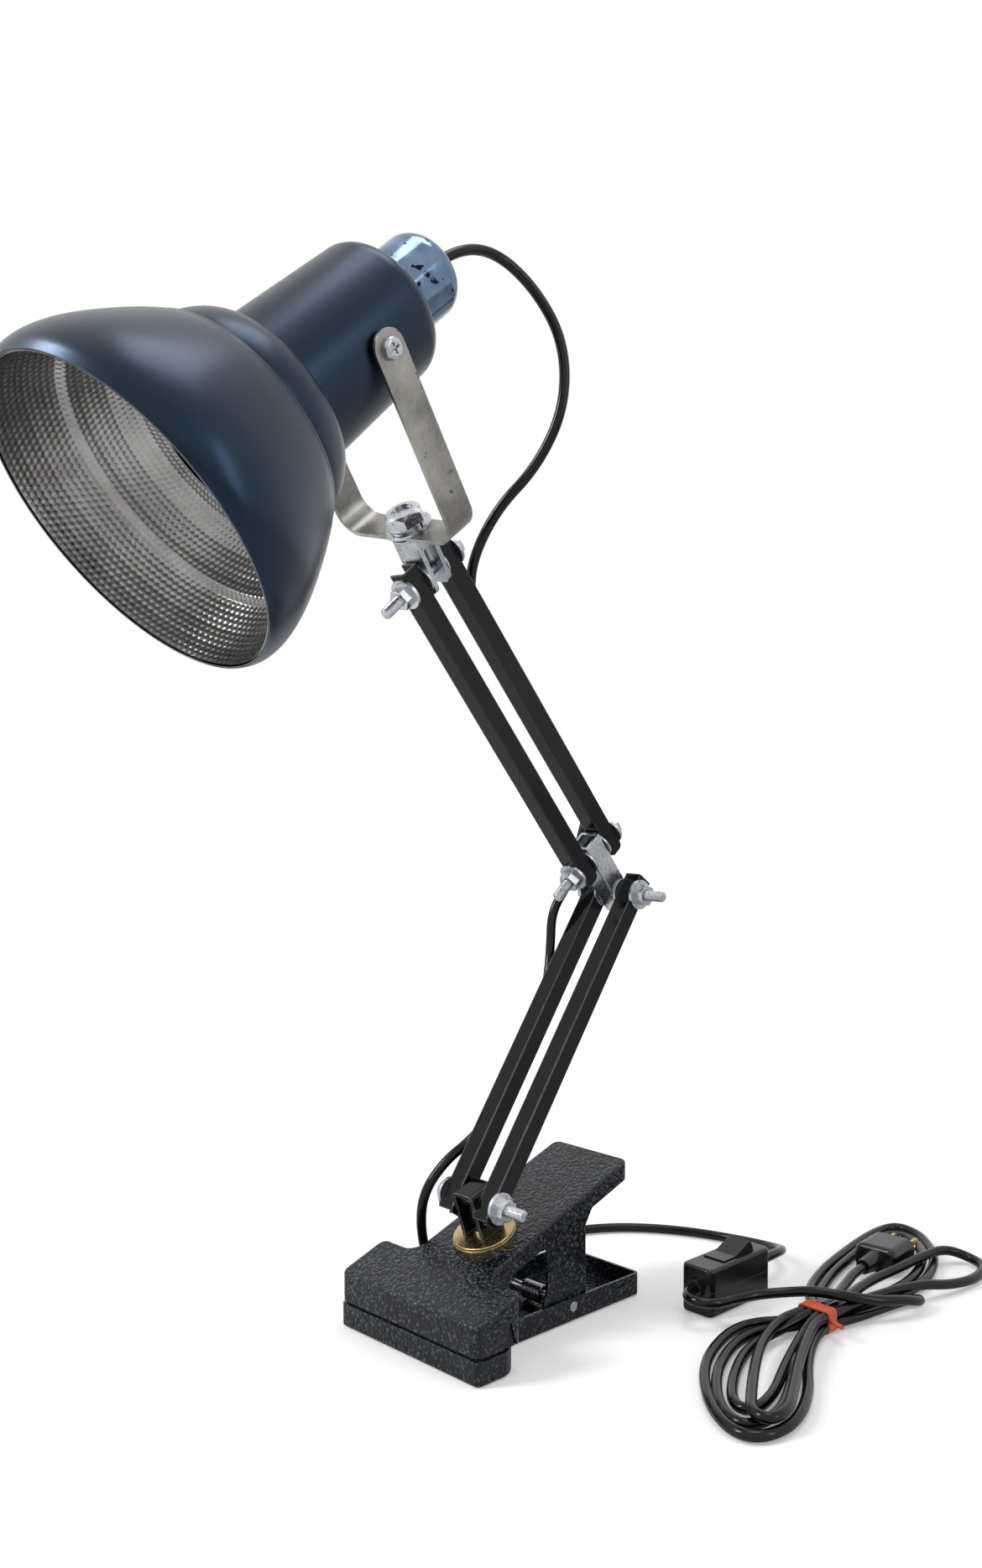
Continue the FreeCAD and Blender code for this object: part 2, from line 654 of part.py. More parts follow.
def flared(share, d):
    """Point of the bell, its radius given as a share of the way from the dome's foot to the mouth."""
    return (dome_r + share * flare, d)


ring_rise = [neck_line[-1], (39.5, neck_front + 0.6), (43.0, neck_front + 1.5), (shoulder_ring_r, shoulder_ring_d)]
ring_curve = [ring_rise[-1], (47.7, 48.0), (49.9, 52.5), (51.3, 57.0), (groove_r, groove_d)]
dome_rise = [ring_curve[-1], (53.6, groove_d + 0.4), (55.2, groove_d + 1.4), (dome_r, dome_d)]
dome_curve = [dome_rise[-1], flared(0.226, 72.0), flared(0.5, 81.5), flared(0.753, 91.5), flared(0.968, 101.5),
              (belly - 0.8, 110.5), (belly, 117.0), (belly - 0.5, 122.5), (mouth_r, mouth_d)]
runs = (back_curve, neck_line, ring_rise, ring_curve, dome_rise, dome_curve)


def joined_inset(t):
    """All runs moved inwards by t, as one list of runs whose ends still meet."""
    whole = []
    for run in runs:
        whole.extend(run if not whole else run[1:])
    moved = inset(whole, t)
    out = []
    first_i = 0
    for run in runs:
        out.append(moved[first_i:first_i + len(run)])
        first_i += len(run) - 1
    return out


inner = joined_inset(shade_t)
inner_back = (inner[0][0][0], shade_back + shade_t)
inner[0][0] = inner_back
inner[-1][-1] = (mouth_r - shade_t, mouth_d)
loop = list(runs) + [[dome_curve[-1], inner[-1][-1]]] + inner
loop += [[(holder_hole_r, shade_back), (26.5, shade_back)], [(holder_hole_r, shade_back + shade_t), inner_back],
         [(holder_hole_r, shade_back), (holder_hole_r, shade_back + shade_t)]]
shade = turned(loop)
shade = shade.cut(rod(m5_r, V(-60, 0, 0), V(60, 0, 0)))
export("shade_shell", put(shade, on_shade))

# dimpled reflector bowl, its lip against the shell behind the mouth, open ring at its inner end
bowl = [(mouth_r - 1.2, mouth_d - 0.8), flared(0.9, 118.0), flared(0.816, 109.0), flared(0.637, 98.5),
        flared(0.384, 88.0), flared(0.079, 78.5), (51.5, 70.5)]
bowl_in = [(r - reflector_t * 0.85, z + reflector_t * 0.5) for r, z in bowl]
bowl_in[0] = (bowl[0][0] - reflector_t, bowl[0][1])
collar = (reflector_hole_r, reflector_hole_d)
collar_in = (reflector_hole_r, reflector_hole_d + reflector_t)
reflector = turned([bowl, bowl_in, [bowl[0], bowl_in[0]], [bowl[-1], collar], [collar, collar_in],
                    [collar_in, bowl_in[-1]]])
lip = ring(mouth_r + 0.1, mouth_r - 1.6, V(0, 0, mouth_d - 0.8 - reflector_t), V(0, 0, mouth_d - 0.8))
reflector = fuse([reflector, lip]).cut(shade)
export("reflector", put(reflector, on_shade))

# ----------------------------------------------------------------- lampholder
holder_r = 19.0
holder_front = 14.0
collar_r = 23.0
body_floor = holder_front - holder_depth
holder_body = fuse([
    ring(holder_r, sleeve_r + sleeve_wall, V(0, 0, body_floor), V(0, 0, holder_front)),
    rod(holder_r, V(0, 0, shade_back - 4.0), V(0, 0, body_floor)),
])
export("holder_body", put(holder_body, on_shade))
sleeve_front = holder_front - 1.0
sleeve = ring(sleeve_r + sleeve_wall, sleeve_r, V(0, 0, sleeve_front - sleeve_length), V(0, 0, sleeve_front))
export("holder_sleeve", put(sleeve, on_shade))
contact = fuse([
    rod(3.2, V(0, 0, body_floor), V(0, 0, body_floor + 1.0)),
    Part.makeSphere(3.2, V(0, 0, body_floor + 1.0)).common(block(-4, 4, -4, 4, body_floor, body_floor + 6)),
])
export("holder_contact", put(contact, on_shade))
nut_back = shade_back + shade_t
ring_nut = ring(ring_nut_r, holder_r, V(0, 0, nut_back), V(0, 0, nut_back + ring_nut_h))
for k in range(12):
    ring_nut = ring_nut.cut(put(block(ring_nut_r - 1.0, ring_nut_r + 2.0, -1.2, 1.2, nut_back - 1, nut_back + ring_nut_h + 2),
                                Base.Placement(V(0, 0, 0), Base.Rotation(Z_AXIS, 30 * k))))
export("holder_ring_nut", put(ring_nut, on_shade))
collar_ring = ring(collar_r, holder_r, V(0, 0, shade_back - 4.0), V(0, 0, shade_back))
collar_ring = rounded(collar_ring, 1.2, lambda e: e.BoundBox.ZMax < shade_back - 3.9 and e.Length > 130)
export("holder_collar", put(collar_ring, on_shade))
cap_front = shade_back - 4.0
cap_outer = [(cap_r, cap_back + 9.0), (cap_r - 0.9, cap_back + 5.2), (cap_r - 3.2, cap_back + 2.0), (cap_r - 7.0, cap_back)]
cap_inner = [(cap_r - 1.2, cap_back + 9.0), (cap_r - 2.0, cap_back + 5.8), (cap_r - 4.0, cap_back + 3.0),
             (cap_r - 7.2, cap_back + 1.2)]
gland_r = 4.6
cap = turned([
    cap_outer, cap_inner,
    [(cap_r, cap_front), (cap_r, cap_back + 9.0)], [(cap_r - 1.2, cap_front), (cap_r - 1.2, cap_back + 9.0)],
    [(cap_r, cap_front), (cap_r - 1.2, cap_front)],
    [(cap_r - 7.0, cap_back), (gland_r, cap_back)], [(cap_r - 7.2, cap_back + 1.2), (gland_r, cap_back + 1.2)],
    [(gland_r, cap_back), (gland_r, cap_back + 1.2)],
])
export("holder_cap", put(cap, on_shade))
gland = fuse([
    ring(gland_r, lead_r, V(0, 0, cap_back - 4.0), V(0, 0, cap_back + 4.0)),
    ring(gland_r + 1.4, lead_r, V(0, 0, cap_back - 2.0), V(0, 0, cap_back)),
])
export("cord_gland", put(gland, on_shade))

# tilt screws and their nuts inside the neck
screws = []
screw_nuts = []
for s in (-1, 1):
    face = s * (yoke_half + face_gap)
    head = rod(m5_head_r, V(face, 0, 0), V(face + s * m5_head_h, 0, 0))
    head = rounded(head, 1.6, lambda e: abs(abs(e.CenterOfMass.x) - yoke_half - face_gap - m5_head_h) < 0.01)
    end = s * (neck_r_back - 6.5)
    screw = fuse([head, rod(m5_r, V(end, 0, 0), V(face + s * 0.5, 0, 0))])
    for turn in (0, 90):
        recess = block(-0.55, 0.55, -2.6, 2.6, 0, 1.6)
        slot = place(V(face + s * (m5_head_h - 1.4), 0, 0), V(s, 0, 0), V(0, math.cos(rad(turn)), math.sin(rad(turn))))
        screw = screw.cut(put(recess, slot))
    screws.append(put(screw, on_shade))
    nut = hexagon(m5_nut_af, V(end + s * 0.6, 0, 0), V(end + s * (0.6 + m5_nut_h), 0, 0)).cut(rod(m5_r, V(-60, 0, 0), V(60, 0, 0)))
    screw_nuts.append(put(nut, on_shade))
export("tilt_screws", *screws)
export("tilt_nuts", *screw_nuts)
spacers = []
neck_start = shade_back + 8.0
neck_core = Part.makeCone(neck_r_back, neck_r_front, neck_front - neck_start, V(0, 0, neck_start), Z_AXIS)
for s in (-1, 1):
    spacer = ring(m5_spacer_r, m5_r, V(s * (neck_r_back - 0.5), 0, 0), V(s * (yoke_half - yoke_t - face_gap), 0, 0))
    spacers.append(put(spacer.cut(neck_core), on_shade))
export("tilt_spacers", *spacers)


# ----------------------------------------------------------------- mains lead
def from_frame(frame, x, y, z):
    p = frame.multVec(V(x, y, z))
    return (p.x, p.y, p.z)


in_bar_x = -1.6             # lead's middle inside a channel, from the bar's middle
lower_x = -bar_at + in_bar_x
leave_upper = upper_span - 100.0
elbow_low = place(elbow_bolt_at, lower_dir, X_AXIS)

head_route = [
    from_frame(on_shade, 0, 0, cap_back + 3.0),
    from_frame(on_shade, 0, 0, cap_back - 16.0),
    (24.0, -10.0, 530.0),
    (30.0, 12.0, 516.0),
    (37.0, 26.0, 491.0),
    (36.0, 28.0, 460.0),
    (26.0, 19.0, 431.0),
    (11.0, 4.0, 409.0),
    from_frame(on_elbow, -4.0, 25.5, upper_span - 16.0),
    from_frame(on_elbow, -11.5, 20.0, upper_span - 40.0),
    from_frame(on_elbow, -8.5, bar_at, upper_span - 62.0),
    from_frame(on_elbow, in_bar_x, bar_at, upper_span - 82.0),
    from_frame(on_elbow, in_bar_x, bar_at, leave_upper),
]
export("cord_head", cord(head_route, lead_r, "cord_head"))
upper_route = [from_frame(on_elbow, in_bar_x, bar_at, z) for z in (leave_upper, 30.0)]
export("cord_upper", rod(lead_r, V(*upper_route[0]), V(*upper_route[1])))
elbow_route = [
    from_frame(on_elbow, in_bar_x, bar_at, 30.0),
    from_frame(on_elbow, in_bar_x, bar_at, 18.0),
    from_frame(on_elbow, -14.0, 11.0, 2.0),
    from_frame(elbow_low, -21.0, -13.5, -4.0),
    from_frame(elbow_low, -24.5, -13.5, -22.0),
    from_frame(elbow_low, -24.0, -4.0, -38.0),
    from_frame(elbow_low, -20.5, 0.2, -53.0),
    from_frame(elbow_low, lower_x, 0, -70.0),
    from_frame(elbow_low, lower_x, 0, -84.0),
]
export("cord_elbow", cord(elbow_route, lead_r, "cord_elbow"))
lower_route = [from_frame(on_base, lower_x, 0, z) for z in (lower_span - 84.0, 56.0)]
export("cord_lower", rod(lead_r, V(*lower_route[0]), V(*lower_route[1])))
floor_z = lead_r + 0.05
gland_z = 14.0
gland_in = 3.0              # lead's end inside each end face of the switch
switch_back = switch_y + switch_length / 2
switch_front = switch_y - switch_length / 2
base_route = [
    from_frame(on_base, lower_x, 0, 56.0),
    from_frame(on_base, lower_x, 0, 44.0),
    from_frame(on_base, -20.5, -0.3, 28.0),
    from_frame(on_base, -26.0, -5.5, 13.0),
    (-30.5, -8.0, 64.0),
    (-35.5, -6.0, 44.0),
    (-37.0, 1.0, 22.0),
    (-42.0, 17.0, 6.0),
    (-50.0, 42.0, floor_z),
    (-61.0, 80.0, floor_z),
    (-64.0, 120.0, floor_z),
    (-48.0, 156.0, floor_z),
    (-16.0, 181.0, floor_z),
    (22.0, 194.0, floor_z),
    (51.0, 190.0, 6.0),
    (switch_x, 170.0, gland_z),
    (switch_x, switch_back - gland_in, gland_z),
]
export("cord_base", cord(base_route, lead_r, "cord_base"))
tail_route = [
    (switch_x, switch_front + gland_in, gland_z),
    (switch_x, switch_front - 6.5, gland_z),
    (switch_x + 5.5, switch_front - 13.5, gland_z),
    (switch_x + 14.0, switch_front - 13.5, gland_z - 0.3),
    (switch_x + 19.5, switch_front - 6.5, gland_z - 0.8),
    (switch_x + 20.5, switch_front + 6.0, gland_z - 2.0),
    (switch_x + 24.0, switch_front + 22.0, gland_z - 4.5),
    (switch_x + 35.0, switch_front + 33.0, 7.5),
    (switch_x + 47.0, switch_front + 36.0, 6.8),
]
cord_tail = cord(tail_route, lead_r, "cord_tail")

# gathered hank: long loops to the rear, a rounder coil to the front, tied where they meet
hank_h = 12.0
loop_h = 6.4
waist_x0, waist_x1 = 112.5, 128.5
waist_y0, waist_y1 = 118.0, 127.0
waist_z0 = 1.5


def eased(corners):
    """The same corners, each radius cut down to what its two sides leave room for."""
    out = []
    for i in range(len(corners)):
        p = V(corners[i][0], corners[i][1], 0)
        a = V(corners[i - 1][0], corners[i - 1][1], 0) - p
        b = V(corners[(i + 1) % len(corners)][0], corners[(i + 1) % len(corners)][1], 0) - p
        room = 0.45 * min(a.Length, b.Length) * math.tan(a.getAngle(b) / 2)
        out.append((p.x, p.y, min(corners[i][2], room)))
    return out


def lobe(outer, hole, height):
    """Flat loop of gathered lead."""
    return prism(eased(outer), 0, height).cut(prism(eased(hole), -1, height + 1))


rear_lobe = lobe([(111, 120, 5), (92, 154, 60), (75, 209, 80), (62, 270, 16), (70, 292, 14), (100, 290, 20),
                  (122, 236, 40), (128, 180, 60), (129, 120, 5)],
                 [(106, 158, 6), (86, 209, 80), (73, 266, 8), (80, 280, 7), (94, 278, 10), (112, 236, 30),
                  (118, 185, 40), (118, 158, 5)], hank_h)
front_lobe = lobe([(111, 130, 5), (106, 84, 60), (107, 40, 22), (140, 6, 30), (174, -3, 16), (178, 22, 16),
                   (163, 62, 30), (136, 102, 40), (130, 130, 5)],
                  [(118, 112, 4), (116, 84, 50), (119, 46, 14), (146, 18, 20), (164, 12, 7), (167, 21, 6),
                   (153, 56, 25), (126, 100, 20), (123, 112, 3)], hank_h)
inner_loop = lobe([(117, 112, 4), (133, 60, 40), (152, 26, 7), (163, 30, 7), (151, 66, 40), (129, 112, 4)],
                  [(124, 104, 2), (138, 62, 40), (154, 33, 3), (156, 35, 3), (144, 64, 40), (126, 104, 2)], loop_h)
outer_loop = lobe([(117, 150, 5), (118, 190, 40), (122, 226, 30), (134, 259, 8), (147, 253, 9), (139, 210, 60),
                   (129, 150, 5)],
                  [(123, 160, 2), (124, 190, 40), (129, 224, 30), (137, 250, 3), (140, 248, 3), (132, 210, 60),
                   (126, 160, 2)], loop_h)
short_fold = prism(eased([(113, 128, 4), (134, 146, 30), (146, 170, 12), (147, 188, 5), (137, 190, 5),
                          (124, 156, 30)]), 0, hank_h)
hank = fuse([rear_lobe, front_lobe, inner_loop, outer_loop, short_fold])
hank = hank.cut(block(90, 150, waist_y0, waist_y1, -1, hank_h + 1))
hank = fuse([hank, block(waist_x0, waist_x1, waist_y0 - 1, waist_y1 + 1, waist_z0, hank_h - 1.0)])
export("cord_hank", hank)

tie = block(waist_x0 - 1.2, waist_x1 + 1.2, waist_y0 + 1.0, waist_y1 - 1.0, waist_z0 - 1.2, hank_h + 0.2)
tie = rounded(tie, 2.4, lambda e: e.BoundBox.YLength > 5)
tie = tie.cut(block(waist_x0, waist_x1, 0, 200, waist_z0, hank_h - 1.0))
tie_end = Part.makeCylinder(1.1, 12, V(waist_x1 + 0.6, waist_y0 + 3.0, 7.0), V(1, -0.55, 0.15))
export("hank_tie", fuse([tie, tie_end]))
export("cord_tail", cord_tail.cut(fuse([hank, tie])))

# inline rocker switch, standing on the floor
sx0, sx1 = switch_x - switch_width / 2, switch_x + switch_width / 2
seam = switch_height * 0.52


def shell_half(z0, z1, edge):
    body = block(sx0, sx1, switch_front, switch_back, z0, z1)
    body = rounded(body, 4.0, lambda e: e.BoundBox.ZLength > 5)
    return rounded(body, 1.8, lambda e: abs(e.BoundBox.ZMax - edge) < 0.01 and e.BoundBox.ZLength < 0.01)


rocker_y = switch_y + 2.0
rocker_r = 13.0             # the rocker's ends are round about its pin
rocker_w = 6.5
rocker_axis_z = switch_height - 2.5
well_depth = 10.5
well = block(switch_x - rocker_w - 0.4, switch_x + rocker_w + 0.4, rocker_y - rocker_r - 0.4,
             rocker_y + rocker_r + 0.4, switch_height - well_depth, switch_height + 1)
gland_out = 2.4
gland_r_switch = 5.0
glands = []
for y0, y1 in ((switch_front - gland_out, switch_front + gland_in), (switch_back - gland_in, switch_back + gland_out)):
    glands.append(rod(gland_r_switch, V(switch_x, y0, gland_z), V(switch_x, y1, gland_z)))
lead_way = rod(lead_r, V(switch_x, switch_front - 5, gland_z), V(switch_x, switch_back + 5, gland_z))
switch_base = shell_half(0, seam, 0)
inside = block(sx0 + 2, sx1 - 2, switch_front + 4, switch_back - 4, 2, seam + 1)
switch_base = switch_base.cut(inside).cut(fuse(glands))
switch_cover = shell_half(seam, switch_height, switch_height).cut(well).cut(fuse(glands))
pin_from = V(sx0 + 1.5, rocker_y, rocker_axis_z)
pin_to = V(sx1 - 1.5, rocker_y, rocker_axis_z)
export("switch_base", switch_base)
export("switch_cover", switch_cover.cut(rod(1.0, pin_from, pin_to)))
export("switch_glands", *[g.cut(lead_way) for g in glands])
export("rocker_pin", rod(1.0, pin_from, pin_to))
contacts = []
for s in (-1, 1):
    end_y = switch_y + s * (switch_length / 2 - 4.5)
    foot = block(switch_x - 3, switch_x + 3, min(end_y, end_y - s * 14), max(end_y, end_y - s * 14), 2.0, 2.8)
    riser_y = end_y - s * 13.6
    riser = block(switch_x - 3, switch_x + 3, riser_y - 0.4, riser_y + 0.4, 2.0, 11.0)
    contacts.append(fuse([foot, riser]))
export("switch_contacts", *contacts)
rocker_side = [
    (rocker_y - 20, rocker_axis_z - 1.5), (rocker_y - 20, rocker_axis_z + 3.2), (rocker_y - 3.0, rocker_axis_z + 3.2),
    (rocker_y + 10.6, rocker_axis_z + 8.7), (rocker_y + 20, rocker_axis_z + 8.7), (rocker_y + 20, rocker_axis_z - 1.5),
    (rocker_y + 5.0, rocker_axis_z - 4.5), (rocker_y - 5.0, rocker_axis_z - 4.5),
]
rocker = side_profile(rocker_side, rocker_w)
rocker = rocker.common(rod(rocker_r, V(-50, rocker_y, rocker_axis_z), V(50, rocker_y, rocker_axis_z)))
rocker.translate(V(switch_x, 0, 0))
rocker = rocker.cut(rod(1.0 + run_fit, V(0, rocker_y, rocker_axis_z), V(200, rocker_y, rocker_axis_z)))
export("switch_rocker", rocker)

# two-blade plug lying inside the rear loop, its blades towards the rear
plug_at = V(97.6, 233.0, 7.6)
plug_dir = V(-0.10, 1, 0).normalize()
plug_frame = place(plug_at, plug_dir, plug_dir.cross(Z_AXIS))
plug = prism([(plug_w / 2, -7.5, 5), (plug_w / 2, 7.5, 5), (-plug_w / 2, 7.5, 5), (-plug_w / 2, -7.5, 5)], -plug_l, 0)
plug = rounded(plug, 3.0, lambda e: e.BoundBox.ZMax < 0.1 - plug_l)
neck_l = 14.0
neck = Part.makeCone(4.0, 5.6, neck_l, V(0, 0, -plug_l - neck_l), Z_AXIS)
lead_hole = rod(lead_r, V(0, 0, -plug_l - neck_l - 1), V(0, 0, -plug_l - neck_l + 4))
plug = fuse([plug, neck]).cut(lead_hole)
blades = []
for s in (-1, 1):
    x0 = s * blade_pitch / 2 - blade_t / 2
    seat = block(x0, x0 + blade_t, -blade_w / 2, blade_w / 2, -6.0, 0)
    plug = plug.cut(seat)
    blade = block(x0, x0 + blade_t, -blade_w / 2, blade_w / 2, -6.0, blade_l)
    blade = rounded(blade, 1.5, lambda e: e.BoundBox.ZMin > blade_l - 0.01 and e.BoundBox.XLength > 1)
    blade = blade.cut(rod(1.6, V(x0 - 1, 0, blade_l - 4.6), V(x0 + 3, 0, blade_l - 4.6)))
    blades.append(put(blade, plug_frame))
export("plug_body", put(plug, plug_frame))
export("plug_blades", *blades)
plug_route = [
    (112.0, 154.0, 6.4),
    (107.0, 170.0, 6.8),
    from_frame(plug_frame, 0, 0, -plug_l - neck_l - 9.0),
    from_frame(plug_frame, 0, 0, -plug_l - neck_l + 4.0),
]
export("cord_plug", cord(plug_route, lead_r, "cord_plug").cut(hank))
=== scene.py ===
import json
import math

import bpy
import numpy as np
from mathutils import Matrix, Vector

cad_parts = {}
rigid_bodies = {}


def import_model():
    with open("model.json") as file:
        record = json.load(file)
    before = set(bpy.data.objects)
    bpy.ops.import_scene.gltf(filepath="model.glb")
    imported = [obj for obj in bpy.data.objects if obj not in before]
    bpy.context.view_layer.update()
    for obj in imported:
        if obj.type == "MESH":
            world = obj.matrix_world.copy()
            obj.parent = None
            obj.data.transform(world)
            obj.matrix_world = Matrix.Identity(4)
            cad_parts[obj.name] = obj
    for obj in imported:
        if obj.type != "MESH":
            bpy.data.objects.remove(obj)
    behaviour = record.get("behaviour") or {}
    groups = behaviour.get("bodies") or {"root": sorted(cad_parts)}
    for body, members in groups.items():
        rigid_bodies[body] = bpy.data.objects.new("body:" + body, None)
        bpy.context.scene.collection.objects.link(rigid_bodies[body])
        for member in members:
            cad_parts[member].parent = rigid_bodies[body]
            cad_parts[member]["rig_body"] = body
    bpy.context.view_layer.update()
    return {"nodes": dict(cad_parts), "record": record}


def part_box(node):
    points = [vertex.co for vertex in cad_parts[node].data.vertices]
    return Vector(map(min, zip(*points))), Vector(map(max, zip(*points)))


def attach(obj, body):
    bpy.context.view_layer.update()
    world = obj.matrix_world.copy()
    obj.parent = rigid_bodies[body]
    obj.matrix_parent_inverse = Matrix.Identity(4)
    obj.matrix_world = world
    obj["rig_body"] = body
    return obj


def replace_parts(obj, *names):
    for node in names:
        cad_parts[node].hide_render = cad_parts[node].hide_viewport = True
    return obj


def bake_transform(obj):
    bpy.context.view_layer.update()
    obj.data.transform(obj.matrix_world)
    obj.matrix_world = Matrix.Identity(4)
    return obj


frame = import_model()
nodes = frame["nodes"]
MM = 0.001


# ------------------------------------------------------------------ camera
CAMERA_PLACE = (0.5254, -0.4909, 0.2998)
CAMERA_RIGHT = (0.69126, 0.72260, -0.00244)
CAMERA_FORWARD = (-0.72223, 0.69078, -0.03479)
CAMERA_LENS = 52.97


def make_camera():
    """Camera at the photograph's viewpoint, found by fitting points of the lamp to the picture."""
    right = Vector(CAMERA_RIGHT).normalized()
    forward = Vector(CAMERA_FORWARD).normalized()
    up = right.cross(forward).normalized()
    right = forward.cross(up)
    data = bpy.data.cameras.new("camera")
    data.sensor_width = 36.0
    data.sensor_fit = "HORIZONTAL"
    data.lens = CAMERA_LENS
    data.clip_start = 0.01
    data.clip_end = 30.0
    cam = bpy.data.objects.new("camera", data)
    bpy.context.scene.collection.objects.link(cam)
    turn = Matrix((right, up, -forward)).transposed().to_4x4()
    cam.matrix_world = Matrix.Translation(CAMERA_PLACE) @ turn
    bpy.context.scene.camera = cam


make_camera()


# --------------------------------------------------------------- materials
class Nodes:
    """Short calls for building one node material."""

    def __init__(self, name):
        self.mat = bpy.data.materials.new(name)
        self.mat.use_nodes = True
        self.tree = self.mat.node_tree
        self.tree.nodes.clear()
        self.out = self.tree.nodes.new("ShaderNodeOutputMaterial")
        self.shader = self.tree.nodes.new("ShaderNodeBsdfPrincipled")
        self.link(self.shader.outputs[0], self.out.inputs["Surface"])
        self.coord = self.tree.nodes.new("ShaderNodeTexCoord").outputs["Object"]

    def link(self, a, b):
        self.tree.links.new(a, b)

    def stretched(self, scale, rotation=(0, 0, 0)):
        n = self.tree.nodes.new("ShaderNodeMapping")
        n.inputs["Scale"].default_value = scale
        n.inputs["Rotation"].default_value = rotation
        self.link(self.coord, n.inputs["Vector"])
        return n.outputs["Vector"]

    def noise(self, scale, detail=4.0, rough=0.55, vector=None):
        n = self.tree.nodes.new("ShaderNodeTexNoise")
        n.inputs["Scale"].default_value = scale
        n.inputs["Detail"].default_value = detail
        n.inputs["Roughness"].default_value = rough
        self.link(vector or self.coord, n.inputs["Vector"])
        return n.outputs["Fac"]

    def cells(self, scale):
        n = self.tree.nodes.new("ShaderNodeTexVoronoi")
        n.feature = "SMOOTH_F1"
        n.inputs["Scale"].default_value = scale
        self.link(self.coord, n.inputs["Vector"])
        return n.outputs["Distance"]

    def spread(self, value, low, high, to_low, to_high):
        n = self.tree.nodes.new("ShaderNodeMapRange")
        for k, v in (("From Min", low), ("From Max", high), ("To Min", to_low), ("To Max", to_high)):
            n.inputs[k].default_value = v
        self.link(value, n.inputs["Value"])
        return n.outputs["Result"]

    def maths(self, kind, a, b):
        n = self.tree.nodes.new("ShaderNodeMath")
        n.operation = kind
        for socket, v in zip(n.inputs, (a, b)):
            if isinstance(v, (int, float)):
                socket.default_value = v
            else:
                self.link(v, socket)
        return n.outputs["Value"]

    def blend(self, factor, a, b):
        n = self.tree.nodes.new("ShaderNodeMix")
        n.data_type = "RGBA"
        self.link(factor, n.inputs["Factor"])
        colours = [s for s in n.inputs if s.type == "RGBA"]
        for socket, v in zip(colours, (a, b)):
            if isinstance(v, tuple):
                socket.default_value = (*v, 1)
            else:
                self.link(v, socket)
        return [s for s in n.outputs if s.type == "RGBA"][0]

    def rounded(self, radius):
        n = self.tree.nodes.new("ShaderNodeBevel")
        n.samples = 4
        n.inputs["Radius"].default_value = radius
        return n.outputs["Normal"]

    def edges(self, rounded):
        """High where the rounded normal leaves the real one: along sharp edges."""
        g = self.tree.nodes.new("ShaderNodeNewGeometry")
        n = self.tree.nodes.new("ShaderNodeVectorMath")
        n.operation = "DOT_PRODUCT"
        self.link(rounded, n.inputs[0])
        self.link(g.outputs["Normal"], n.inputs[1])
        return self.spread(n.outputs["Value"], 0.995, 0.80, 0.0, 1.0)

    def bump(self, height, distance, strength=1.0, normal=None):
        n = self.tree.nodes.new("ShaderNodeBump")
        n.inputs["Strength"].default_value = strength
        n.inputs["Distance"].default_value = distance
        self.link(height, n.inputs["Height"])
        if normal is not None:
            self.link(normal, n.inputs["Normal"])
        return n.outputs["Normal"]

    def set(self, **values):
        for key, v in values.items():
            socket = self.shader.inputs[key.replace("_", " ")]
            if isinstance(v, (int, float)):
                socket.default_value = v
            elif isinstance(v, tuple):
                socket.default_value = (*v, 1)
            else:
                self.link(v, socket)


BROAD_GRAIN = 35.0     # slow change of tone over a piece
WEAR_AND_SHEEN_GRAIN = 260.0     # patches where an edge shows wear, and on the bars a painted highlight
SPOT_EDGE = 0.04
SPECKLE_FROM, SPECKLE_TO = 0.14, 0.34


def finish_of(name, dark, light, metallic, rough, grain, bump_mm, cells=None, edge_wear_and_sheen=None, bevel_mm=0.35,
              stretch=None, spots=None, shine=0.5, tint=(1.0, 1.0, 1.0), speckle=None, wear_and_sheen_spread=(0.42, 0.62)):
    """Two tones and a roughness range driven by noise, a fine bump, softened edges, and light edges in
    patches: wear, and on the bars a painted highlight.
    """
    n = Nodes(name)
    vector = n.stretched(*stretch) if stretch else None
    fine = n.noise(grain, 6.0, 0.6, vector)
    broad = n.noise(BROAD_GRAIN, 3.0, 0.5)
    tone = n.maths("MULTIPLY_ADD", fine, 0.6)
    n.link(n.spread(broad, 0.3, 0.7, -0.1, 0.5), tone.node.inputs[2])
    colour = n.blend(n.spread(tone, 0.25, 0.75, 0.0, 1.0), dark, light)
    normal = n.rounded(bevel_mm * MM)
    if speckle:
        colour = n.blend(n.spread(n.cells(cells), SPECKLE_FROM, SPECKLE_TO, 0.0, 1.0), speckle, colour)
    if spots:
        spot_grain, spot_from, spot_colour = spots
        mask = n.spread(n.noise(spot_grain, 2.0, 0.5), spot_from, spot_from + SPOT_EDGE, 0.0, 1.0)
        colour = n.blend(mask, colour, spot_colour)
    # light colour laid along sharp edges in patches: wear, and on the bars a painted highlight of the edges'
    # shine
    if edge_wear_and_sheen:
        sharp = n.edges(normal)
        patchy = n.spread(n.noise(WEAR_AND_SHEEN_GRAIN, 5.0, 0.7), wear_and_sheen_spread[0], wear_and_sheen_spread[1], 0.0, 1.0)
        colour = n.blend(n.maths("MULTIPLY", sharp, patchy), colour, edge_wear_and_sheen)
    height = n.cells(cells) if cells else fine
    normal = n.bump(height, bump_mm * MM, 1.0, normal)
    if cells:
        normal = n.bump(fine, bump_mm * 0.15 * MM, 1.0, normal)
    n.set(Base_Color=colour, Metallic=metallic, Roughness=n.spread(fine, 0.3, 0.7, rough[0], rough[1]),
          Normal=normal, Specular_IOR_Level=shine, Specular_Tint=tint)
    return n.mat


